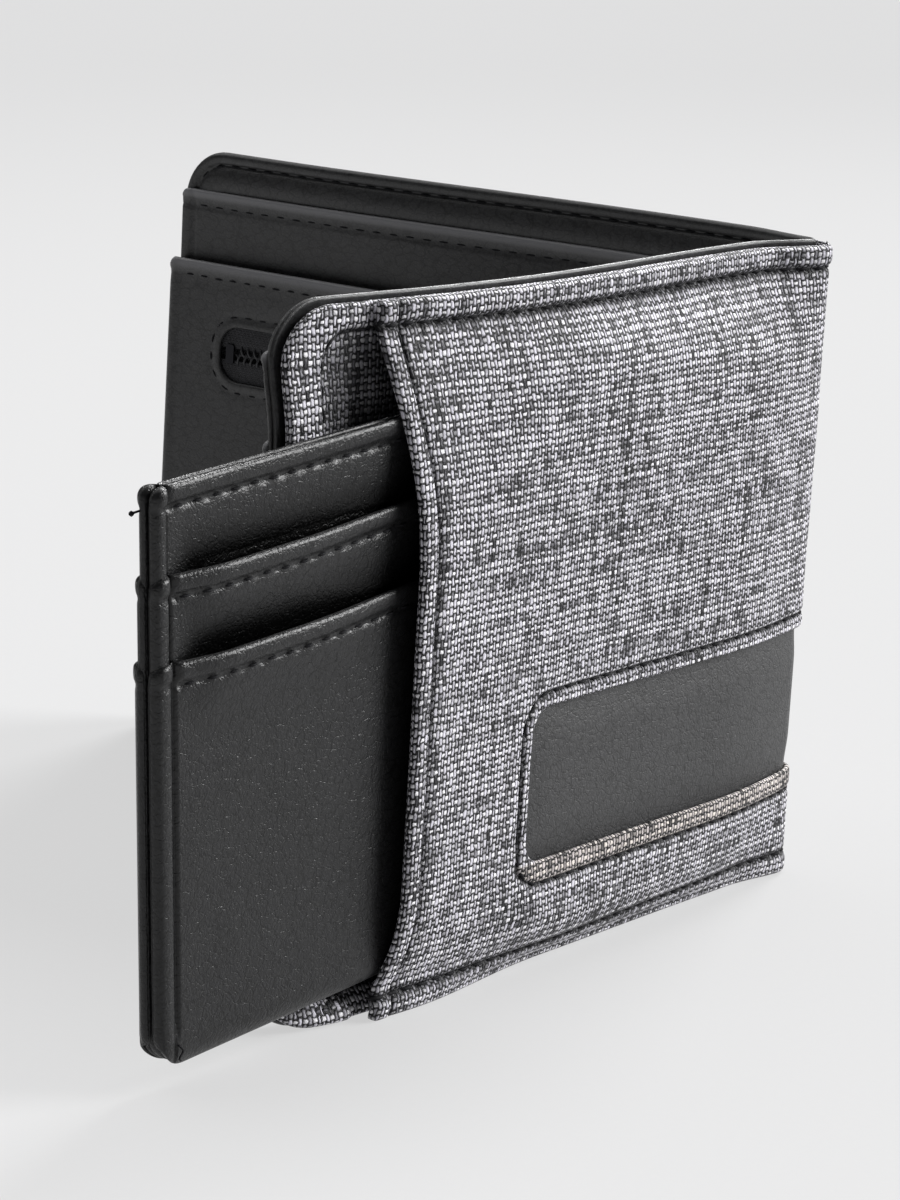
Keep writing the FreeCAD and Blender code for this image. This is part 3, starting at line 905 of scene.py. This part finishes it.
def fabric_sewing():
    """The black sewing of the outer fabric: both hems, the mouth, the back's side and the window."""
    start = front_u(MOUTH) - 1.0
    heights = np.linspace(HEM, HEIGHT - 0.4, 60)
    mouth = np.column_stack([mouth_u(heights) + HEM, heights])
    side_low, side_high = (start, HEM), (FABRIC_HIGH[0] - HEM, HEIGHT - HEM)
    outline = arc_path(side_low, side_high, (0.01, CORNER_R - HEM, CORNER_R - HEM, 0.01), 8)
    outline = [p for p in outline if p[0] > start + 0.5]
    hem = [(start, HEM)] + outline + [(start, HEIGHT - HEM)]
    low = (WINDOW[0][0] - 2.0, WINDOW_LOW - 3.0)
    high = (WINDOW[1][0] + 2.0, WINDOW_HIGH + 2.0)
    window = arc_path(low, high, (WINDOW_R + 2.0,) * 4, 6)
    window = window + window[:1]
    obj = stitches("outer_fabric_sewing", [hem, mouth, window], fabric_face, spot, THREAD,
                   2.6, 0.3, radius=0.25)
    return round_spine(obj, "thread")


def layer_radii(r_low, r_high, half):
    """Corner radii, anticlockwise from the low corner, for a layer rounded only at its side edge."""
    return (r_low, 0, 0, r_high) if half == "front" else (0, r_low, r_high, 0)


def layer_span(half, start, end):
    return (front_u(end), front_u(start)) if half == "front" else (back_u(start), back_u(end))


def painted_rim_highlight(below):
    """Painted highlight: a paler line along a rolled edge, where its round rim catches the light."""
    return 0.85 * bump(below, 0.4, 0.75)


def layer(name, half, across, up, radii, depths, material, coarse=2.0, shades=None):
    """A layer of one half between two distances from the spine's corner."""
    span = layer_span(half, *across)
    low, high = (span[0], up[0]), (span[1], up[1])
    corners = layer_radii(*radii, half)
    us = lines(low[0], high[0], coarse=coarse)
    vs = lines(low[1], high[1], coarse=coarse)
    return sheet_piece(name, us, vs, round_corners(low, high, corners),
                       lambda u, v: inside(u, v, low, high, corners), depths, spot, material, shades=shades)


def shell_fabric():
    """The front half's own cloth, seen beside the pocket's mouth, with a sewn border."""
    low, high = (front_u(SIDE - 0.6), 0.3), (front_u(3.0), HEIGHT - 0.2)
    corners = (CORNER_R, 0, 0, CORNER_R)
    seam_low, seam_high = (low[0] + 6.2, low[1] + 3.4), (high[0], high[1] - 3.4)

    def border(u, v):
        return inside(u, v, low, high, corners)

    def from_seam(u, v):
        return inside(u, v, seam_low, (seam_high[0] + 9, seam_high[1]), (4.5, 0, 0, 4.5))

    def depths(u, v):
        d = from_seam(u, v)
        beside = smooth((reach(u) - MOUTH - 1.2) / 1.6)
        rise = 0.75 * beside * smooth((1.0 - d) / 1.5)
        groove = 0.42 * bump(d, 0.0, 0.5) * beside
        outer = bow(u, v) + 1.3 - rise + groove
        return outer, bow(u, v) + 1.95

    # Painted shade: a dark line along the sewn groove, and the cloth inside the border darkened for the
    # pocket's shadow on it.
    def seam_and_pocket_shade(u, v):
        d = from_seam(u, v)
        return np.maximum(0.98 * bump(d, 0.0, 0.6), 0.72 * smooth(d / 1.5))

    us = lines(low[0], high[0], (front_u(MOUTH),), coarse=2.0, near=8.0, seams=(seam_low[0],))
    vs = lines(low[1], high[1], (), coarse=2.0, near=5.0, seams=(seam_low[1], seam_high[1]))

    # the painted shade of the seam and of the pocket's shadow goes in as a field
    obj = sheet_piece("shell_fabric", us, vs, round_corners(low, high, corners), border, depths, spot, FABRIC,
                      shades={"seam": seam_and_pocket_shade})
    carried(obj, "front_half", "grey_fabric", "front_shell_fabric")
    start = front_u(MOUTH + 1.6)
    path = arc_path(seam_low, (start, seam_high[1]), (4.5, 0.01, 0.01, 4.5), 8)
    ring = [p for p in path if p[0] < start - 0.2]
    turn = next(k for k, p in enumerate(ring) if p[1] > HEIGHT / 2)
    ordered = [(start, seam_high[1])] + ring[turn:] + ring[:turn] + [(start, seam_low[1])]
    sewn = stitches("shell_fabric_sewing", [ordered], lambda u, v: depths(u, v)[0], spot, THREAD,
                    2.5, 0.35, 0.22)
    carried(sewn, "front_half", "thread")
    return obj


LINING_SEAM = 2.0


def lining():
    """The black inside of both halves, turned over its own edge, in one piece round the spine."""
    low, high = (front_u(SIDE + 0.2), 0.4), (back_u(SIDE + 0.2), LINING_TOP)
    corners = (CORNER_R,) * 4

    def border(u, v):
        return inside(u, v, low, high, corners)

    def depths(u, v):
        d = border(u, v)
        groove = 0.26 * bump(d, LINING_SEAM, 0.38)
        roll = 0.46 * dome(d / 1.8) * (d < 1.8)
        under = 0.62 * np.sin(math.pi * np.clip((d - LINING_SEAM) / 5.6, 0, 1)) * smooth((v - 80) / 5)
        base = bow(u, v)
        inner = base + 2.85 + roll + under - groove
        outer = base + 2.36 - 0.28 * smooth((1.2 - d) / 1.0)
        return outer, inner

    us = lines(low[0], high[0], (0.0,), coarse=1.6, near=5.0)
    vs = lines(low[1], high[1], (), coarse=2.0, near=8.0, seams=(high[1] - LINING_SEAM,))
    obj = sheet_piece("lining", us, vs, round_corners(low, high, corners), border, depths, spot,
                      LINING_LEATHER)
    round_spine(obj, "black_leather", "front_lining", "back_lining", "spine_lining")
    seam = LINING_SEAM
    path = arc_path((low[0] + seam, low[1] + seam), (high[0] - seam, high[1] - seam),
                    (CORNER_R - seam,) * 4, 8)
    path = [p for p in path if p[1] > 8]
    sewn = stitches("lining_sewing", [path], lambda u, v: depths(u, v)[1], spot, THREAD,
                    2.5, 0.7, inward=-1.0)
    round_spine(sewn, "thread")
    return obj


def boards():
    for half, node in (("front", "front_stiffener"), ("back", "back_stiffener")):
        low, high = extent(node, half)

        def depths(u, v, t0=low[1], t1=high[1] - 0.02):
            return bow(u, v) + t0, bow(u, v) + t1

        obj = layer("stiffener_board_" + half, half, (low[0], high[0]), (low[2], high[2]), (5.0, 5.0),
                    depths, BOARD)
        carried(obj, half + "_half", "board", node)


PANEL_SEAM = 2.4


def inner_panel(node, half, top, depth, thick, step):
    """A pocket wall inside a half: a rolled, sewn top edge and a side edge that steps outwards."""
    low, high = extent(node, half)
    across = (low[0], SIDE + step)
    span = layer_span(half, *across)

    def depths(u, v):
        below = top - v
        side = across[1] - reach(u)
        roll = 0.34 * dome(below / 1.5) * (below < 1.5)
        groove = 0.18 * bump(below, PANEL_SEAM, 0.35)
        side_roll = 0.16 * dome(side / 2.2) * (side < 2.2)
        side_groove = 0.12 * bump(side, 2.5, 0.4)
        gape = 0.10 * np.sin(math.pi * np.clip((reach(u) - 14) / 100, 0, 1)) * smooth((14 - below) / 14)
        face = bow(u, v) + depth + thick + gape + roll + side_roll - groove - side_groove
        back = bow(u, v) + depth + gape - 0.35 * smooth((1.0 - side) / 0.8)
        return back, face

    # the rolled top edge gets a painted highlight, passed in as a field
    obj = layer(node, half, across, (low[2], top), (5.0, 1.5), depths, LINING_LEATHER,
                shades={"painted_highlight": lambda u, v: painted_rim_highlight(top - v)})
    carried(obj, half + "_half", "black_leather", node)
    path = [(span[0] + 3.0, top - PANEL_SEAM), (span[1] - 3.0, top - PANEL_SEAM)]
    sewn = stitches(node + "_sewing", [path], lambda u, v: depths(u, v)[1], spot, THREAD,
                    2.3, 0.7, 0.13, -1.0)
    carried(sewn, half + "_half", "thread")


def inner_panels():
    for half in ("front", "back"):
        low, high = extent("bill_wall_" + half, half)
        inner_panel("bill_wall_" + half, half, high[2], low[1] + 0.02, 0.38, 0.35)
    for k, name in enumerate(("upper", "middle", "lower")):
        node = "card_slot_front_" + name
        low, high = extent(node, "front")
        inner_panel(node, "front", high[2], low[1] + 0.02, 0.36, 0.6 + 0.1 * k)
    low, high = extent("coin_pouch_lining", "back")

    def flat(u, v):
        return bow(u, v) + low[1], bow(u, v) + high[1]

    pouch = layer("coin_pouch_lining", "back", (low[0], high[0]), (low[2], high[2]), (5.0, 1.5), flat, POUCH)
    carried(pouch, "back_half", "pouch_cloth", "coin_pouch_lining")


def zip_panel():
    low, high = extent("zip_panel", "back")
    top = high[2]
    across = (low[0], SIDE + 0.75)
    hole = ((back_u(ZIP_S[0]), ZIP_Z - ZIP_HALF), (back_u(ZIP_S[1]), ZIP_Z + ZIP_HALF))
    outline = ((back_u(across[0]), low[2]), (back_u(across[1]), top))
    corners = (0, 5.0, 1.5, 0)

    def from_hole(u, v):
        return -inside(u, v, *hole, (ZIP_R,) * 4)

    def edge(u, v):
        return np.minimum(inside(u, v, *outline, corners), np.maximum(from_hole(u, v), 0))

    def warp(u, v):
        return round_hole(*hole, ZIP_R, 4.0)(*round_corners(*outline, corners)(u, v))

    def depths(u, v):
        below, side, near = top - v, across[1] - reach(u), from_hole(u, v)
        roll = 0.44 * dome(below / 1.7) * (below < 1.7) + 0.14 * dome(side / 2.2) * (side < 2.2)
        rim = 0.14 * dome(near / 1.3) * (near < 1.3)
        groove = 0.16 * bump(below, PANEL_SEAM, 0.35) + 0.14 * bump(near, ZIP_SEAM, 0.3)
        lean = 0.55 * np.sin(math.pi * np.clip((reach(u) - 14) / 100, 0, 1)) * smooth((10 - below) / 10)
        face = bow(u, v) + high[1] - 0.04 + roll + rim - groove + lean
        back = bow(u, v) + low[1] + 0.04 + lean - 2.2 * smooth((1.6 - side) / 1.4) * (v > low[2] - 1)
        return back, face

    us = lines(outline[0][0], outline[1][0], (hole[0][0], hole[1][0]), coarse=1.8)
    vs = lines(outline[0][1], outline[1][1], (hole[0][1], hole[1][1]), coarse=1.8, near=2.5)
    # the rolled top edge gets a painted highlight, passed in as a field
    obj = sheet_piece("zip_panel", us, vs, warp, edge, depths, spot, LINING_LEATHER, hole=hole,
                      shades={"painted_highlight": lambda u, v: painted_rim_highlight(top - v)})
    carried(obj, "back_half", "black_leather", "zip_panel")
    seam_low = (hole[0][0] - ZIP_SEAM, hole[0][1] - ZIP_SEAM)
    seam_high = (hole[1][0] + ZIP_SEAM, hole[1][1] + ZIP_SEAM)
    around = arc_path(seam_low, seam_high, (5.2,) * 4, 6)
    straight = [(outline[0][0] + 3, top - PANEL_SEAM), (outline[1][0] - 3, top - PANEL_SEAM)]
    sewn = stitches("zip_panel_sewing", [around + around[:1], straight], lambda u, v: depths(u, v)[1], spot,
                    THREAD, 2.1, 0.7, 0.14, -1.0)
    carried(sewn, "back_half", "thread")


# ---------------------------------------------------------------- the zip

COIL_LOW, COIL_HIGH = extent("zip_coil_upper", "back")
STOP_OPEN = extent("zip_stop_open", "back")
STOP_CLOSED = extent("zip_stop_closed", "back")
ZIP_Z = (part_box("zip_slider_body")[0].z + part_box("zip_slider_body")[1].z) * 500
ZIP_S = (STOP_CLOSED[0][0] - 0.7, STOP_OPEN[1][0] + 1.0)
ZIP_S = (min(ZIP_S), max(ZIP_S))
ZIP_HALF = 4.2
ZIP_R = 3.5
ZIP_SEAM = 1.7
TOOTH_PITCH = 1.25


def zip_tapes():
    for node in ("zip_tape_upper", "zip_tape_lower"):
        low, high = extent(node, "back")

        def depths(u, v, t=(low[1], high[1])):
            cord = 0.12 * bump(np.abs(v - ZIP_Z), 1.9, 0.35)
            return bow(u, v) + t[0], bow(u, v) + t[1] - 0.03 + cord

        obj = layer(node, "back", (low[0], high[0]), (low[2], high[2]), (0.0, 0.0), depths, TAPE, coarse=1.5)
        carried(obj, "back_half", "zip_tape", node)


def zip_coils():
    """Two rows of nylon coil, whose turns are flat loops that meet on the middle line.

    The rows stay closed: they do not part as the slider moves.
    """
    depth = (COIL_LOW[1] + COIL_HIGH[1]) / 2
    count = int((COIL_HIGH[0] - COIL_LOW[0]) / TOOTH_PITCH)
    for name, side in (("upper", 1), ("lower", -1)):
        steps = 14
        share = np.linspace(0, 1, steps * count + 1)
        turn = 2 * math.pi * share * count
        s = COIL_LOW[0] + 0.4 + share * count * TOOTH_PITCH + (0 if side > 0 else TOOTH_PITCH / 2)
        s = s + 0.16 * np.sin(turn)
        z = ZIP_Z + side * (0.66 - 0.70 * np.cos(turn))
        t = depth + 0.28 * np.sin(turn)
        points = spot(back_u(s), z, t + bow(back_u(s), z))[None]
        normals = spot(back_u(s), z, t - 1)[None] - points
        normals /= np.linalg.norm(normals, axis=-1, keepdims=True)
        mesh_points, faces = sweep(points, normals, np.full(len(s), 0.2), ring=8)
        obj = make_mesh("zip_coil_" + name, mesh_points, faces, NYLON)
        carried(obj, "back_half", "zip_coil", "zip_coil_" + name)


def metal_parts():
    """The slider, bail, pull and stops keep their CAD shapes, with rounded edges from a bevelled copy."""
    rows = (
        ("zip_slider_body", "zip_slider", 0.16),
        ("zip_slider_bail", "zip_slider", 0.14),
        ("zip_pull_tab", "zip_pull", 0.12),
        ("zip_stop_closed", "back_half", 0.12),
        ("zip_stop_open", "back_half", 0.12),
    )
    for node, body, width in rows:
        source = frame["nodes"][node]
        mesh = source.data.copy()
        mesh.materials.clear()
        mesh.materials.append(METAL)
        obj = bpy.data.objects.new(node + "_metal", mesh)
        bpy.context.scene.collection.objects.link(obj)
        bevel = obj.modifiers.new("soft_edges", "BEVEL")
        bevel.width = width / 1000
        bevel.segments = 2
        bevel.limit_method = "ANGLE"
        bevel.angle_limit = math.radians(40)
        weld = obj.modifiers.new("weld", "WELD")
        weld.merge_threshold = 0.000002
        obj.modifiers.move(1, 0)
        carried(obj, body, "dark_metal", node)


# ---------------------------------------------------------------- the card holder

STRIP = 2.9
ROLL = 2.3
HOLDER_STITCH = 3.3
HOLDER_CORNERS = (5.0, 2.0, 1.0, 1.5)
GAPE = 1.2
WRAP_FOOT = 0.35
SLOT_FOOT = 0.45
SLOT_STEP = SLOT_TOPS[0] - SLOT_TOPS[1]
DEEPEST_SLOT = 1.0


def holder_layer(name, side, top, next_top, depth, start_a, strip_depth):
    """One leather layer of a side of the holder, with a rolled left strip and a rolled top edge.

    next_top is the top of the layer in front of this one, and None for the front layer.
    """
    is_slot = depth < DEEPEST_SLOT
    low, high = (start_a, SLOT_FOOT if is_slot else WRAP_FOOT), (HOLDER_LENGTH, top)
    middle = HOLDER_DEEP / 2
    thick = 0.4
    out = (GAPE if side == "front" else 0.6 * GAPE) if is_slot else 0.0

    def border(u, v):
        return inside(u, v, low, high, HOLDER_CORNERS)

    def gape(u, v):
        """How far the panel stands out: most at its top edge, and back to nothing above the next layer."""
        held = smooth((u - STRIP) / 9) * (1 - smooth((u - 24) / 22))
        return out * held * smooth((SLOT_STEP - 0.5 - (top - v)) / (SLOT_STEP - 2.5))

    def profile(u, v):
        """Outer and inner distance from the holder's outer face on this side."""
        below = top - v
        in_strip = smooth((STRIP + 0.05 - u) / 0.35)
        sink = 0.0
        if next_top is not None:
            sink = 0.48 * np.clip((6.0 - (v - next_top)) / 6.0, 0, 1) ** 2 * smooth((u - STRIP) / 8)
        full = 0.52 - 0.30 * smooth((u - 44) / 12)
        roll = full * dome(0.08 + 0.92 * below / ROLL) * (below < ROLL) * smooth((u - STRIP + 0.2) / 1.5)
        dent = 0.55 + 0.45 * np.cos(2 * math.pi * (u - STRIP - 0.9) / HOLDER_STITCH)
        seam = 0.34 * bump(below, ROLL + 0.55, 0.42) * dent * smooth((u - STRIP) / 1.0)
        slack = 0.05 * ripple(u * 1.7, v * 1.3) * smooth((below - ROLL) / 3) * smooth((u - STRIP) / 3)
        groove = 0.5 * bump(u, STRIP + 0.1, 0.24) * smooth((v - 3) / 4)
        step = 0.30 * dome(below / ROLL) * (below < ROLL) - 0.14 * bump(below, ROLL + 0.4, 0.4)
        round_share = dome(np.clip(0.06 + 0.90 * (u - start_a) / (STRIP - start_a), 0, 1))
        strip = strip_depth + 0.85 * (1 - round_share) - step
        panel = depth - gape(u, v) + sink - roll + seam + slack
        outer = panel + (strip - panel) * in_strip + groove
        inner = depth + thick - gape(u, v) + sink
        hook = smooth((0.7 - (u - start_a)) / 0.3) if is_slot else 1.0
        inner = inner + (middle - 0.14 - inner) * hook * smooth((STRIP - u) / 0.5)
        return outer, np.maximum(inner, outer + 0.2)

    def depths(u, v):
        outer, inner = profile(u, v)
        if side == "front":
            return outer, inner
        return HOLDER_DEEP - inner, HOLDER_DEEP - outer

    def deep(u, v):
        """Painted shade on the panel, strongest just above the next layer's edge and fading upwards."""
        if next_top is None:
            return 0.0 * u
        return np.clip((6.5 - (v - next_top)) / 6.0, 0, 1) ** 1.3 * smooth((u - STRIP) / 5)

    us = lines(low[0], high[0], (STRIP,), fine=0.22, coarse=0.7, near=2.2)
    vs = lines(low[1], high[1], (), fine=0.3, coarse=1.6, near=4.0)
    # the panel above the next layer's edge gets painted shade, passed in as a field
    obj = sheet_piece(name, us, vs, round_corners(low, high, HOLDER_CORNERS), border, depths, holder_spot,
                      HOLDER_LEATHER, shades={"deep": deep})
    inward = 1.0 if side == "front" else -1.0
    path = [(STRIP + 0.9, top - ROLL - 0.55), (HOLDER_LENGTH - 3, top - ROLL - 0.55)]
    face = 0 if side == "front" else 1
    sewn = stitches(name + "_sewing", [path], lambda u, v: depths(u, v)[face], holder_spot, THREAD,
                    2.1, 1.2, 0.17, inward)
    carried(sewn, "card_holder", "thread")
    return obj


def card_holder():
    upper, lower = SLOT_TOPS
    for side in ("front", "back"):
        base = holder_layer(f"holder_wrap_{side}", side, HOLDER_HEIGHT, upper, 1.34, 0.6, 0.42)
        nodes = ("holder_wrap",) if side == "front" else ()
        carried(base, "card_holder", "holder_leather", *nodes)
        rows = (("upper", upper, lower, 0.65, 0.3, 0.17), ("lower", lower, None, 0.0, 0.0, -0.08))
        for name, top, next_top, depth, start_a, strip_depth in rows:
            node = f"holder_{side}_slot_{name}"
            obj = holder_layer(node, side, top, next_top, depth, start_a, strip_depth)
            carried(obj, "card_holder", "holder_leather", node)


def thread_tail(name, turns, radius, body, knot=0.0):
    """A loose end of thread through a few points, with a knot of a given radius at its tip."""
    turns = np.array(turns, float)
    share = np.linspace(0, len(turns) - 1, 8 * (len(turns) - 1) + 1)
    path = np.column_stack([np.interp(share, range(len(turns)), turns[:, k]) for k in range(3)])
    for _ in range(6):
        path[1:-1] = (path[:-2] + path[1:-1] * 2 + path[2:]) / 4
    wide = np.full(len(path), radius)
    wide[-1] *= 0.5
    if knot:
        wide = wide + knot * bump(np.arange(len(path)), len(path) - 4, 2.0)
    normals = np.tile([0.3, 0.5, 0.8], (1, len(path), 1))
    points, faces = sweep(path[None], normals, wide)
    carried(make_mesh(name, points, faces, THREAD), body, "thread")


def thread_tails():
    """Loose ends where seams stop: the holder's top left and foot, and the top of the spine."""
    top = [(0.9, HOLDER_HEIGHT - 2.8, 3.0), (0.2, HOLDER_HEIGHT - 2.9, 3.2), (-0.7, HOLDER_HEIGHT - 3.0, 3.3)]
    foot = [(STRIP, 3.4, -0.1), (STRIP + 0.5, 2.7, -0.5), (STRIP - 0.3, 1.9, -0.6), (STRIP + 0.4, 1.3, -0.5)]
    thread_tail("holder_tail_top", holder_spot(*np.array(top).T), 0.14, "card_holder", 0.22)
    thread_tail("holder_tail_foot", holder_spot(*np.array(foot).T), 0.12, "card_holder")
    base = np.array([(-2.6, HEIGHT - HEM, 0.2), (-2.2, HEIGHT - 0.9, 0.1), (-1.6, HEIGHT + 0.5, 0.5)])
    for k, lean in enumerate((-0.5, 0.1, 0.7)):
        turns = base + np.array([(0, 0, 0), (lean * 0.4, 0, 0), (lean, -0.25 * k, 0.2 * k)])
        thread_tail(f"spine_tail_{k}", spot(*turns.T), 0.09, "front_half")


# ---------------------------------------------------------------- camera, floor and light

CAMERA_AT = Vector((-0.47176, -0.30820, 0.16295))
CAMERA_LOOK = Vector((0.76696, 0.60281, -0.21998)).normalized()
CAMERA_ROLL = math.radians(3.43)


def add_camera():
    data = bpy.data.cameras.new("camera")
    data.lens = 122.5
    data.sensor_width = 36.0
    data.clip_start = 0.01
    data.clip_end = 50.0
    camera = bpy.data.objects.new("camera", data)
    right = CAMERA_LOOK.cross(Vector((0, 0, 1))).normalized()
    up = right.cross(CAMERA_LOOK)
    turned_right = right * math.cos(CAMERA_ROLL) + up * math.sin(CAMERA_ROLL)
    turned_up = up * math.cos(CAMERA_ROLL) - right * math.sin(CAMERA_ROLL)
    axes = Matrix((turned_right, turned_up, -CAMERA_LOOK)).transposed()
    camera.matrix_world = Matrix.Translation(CAMERA_AT) @ axes.to_4x4()
    bpy.context.scene.collection.objects.link(camera)
    bpy.context.scene.camera = camera


def add_floor():
    """A pale floor that glows a little, so that shadows stay faint, and fades with distance."""
    material, tree, shader = new_material("pale_floor")
    g = Graph(tree)
    place = g.node("TexCoord").outputs["Object"]
    grain = g.noise(place, 900.0, 2.0)
    g.put(shader.inputs["Base Color"], g.mix(grain, (0.155, 0.155, 0.157, 1), (0.165, 0.165, 0.167, 1)))
    shader.inputs["Roughness"].default_value = 0.8
    shader.inputs["Specular IOR Level"].default_value = 0.0
    shader.inputs["Emission Color"].default_value = (1.0, 1.0, 1.0, 1)
    far = g.node("VectorMath", operation="LENGTH")
    g.put(far.inputs[0], g.moved(place, (-0.35, 0.35, 0.0)))
    g.put(shader.inputs["Emission Strength"], g.ramp(far.outputs["Value"], 0.6, 1.3, 0.575, 0.475))
    side = 20000.0
    points = [(-side, -side, 0), (side, -side, 0), (side, side, 0), (-side, side, 0)]
    floor = make_mesh("floor", points, [(0, 1, 2, 3)], material)


def add_sun(name, towards, strength, spread):
    """A soft light from far away: towards points to the light, spread is its width in degrees."""
    data = bpy.data.lights.new(name, "SUN")
    data.energy = strength
    data.angle = math.radians(spread)
    light = bpy.data.objects.new(name, data)
    light.rotation_euler = Vector(towards).to_track_quat("Z", "Y").to_euler()
    bpy.context.scene.collection.objects.link(light)


def add_studio():
    world = bpy.data.worlds.new("studio")
    world.use_nodes = True
    background = world.node_tree.nodes["Background"]
    background.inputs["Color"].default_value = (0.97, 0.98, 1.0, 1)
    background.inputs["Strength"].default_value = 0.09
    bpy.context.scene.world = world
    bpy.context.scene.view_settings.view_transform = "Standard"
    add_sun("overhead", (0.10, 0.50, 1.0), 1.5, 70)
    add_sun("rim", (0.77, 0.20, 0.58), 3.0, 19)
    add_sun("side_key", (0.75, -0.54, 0.42), 4.5, 34)


add_camera()
add_floor()
add_studio()
outer_fabric()
leather_band()
fabric_sewing()
shell_fabric()
lining()
boards()
inner_panels()
zip_panel()
zip_tapes()
zip_coils()
metal_parts()
card_holder()
thread_tails()
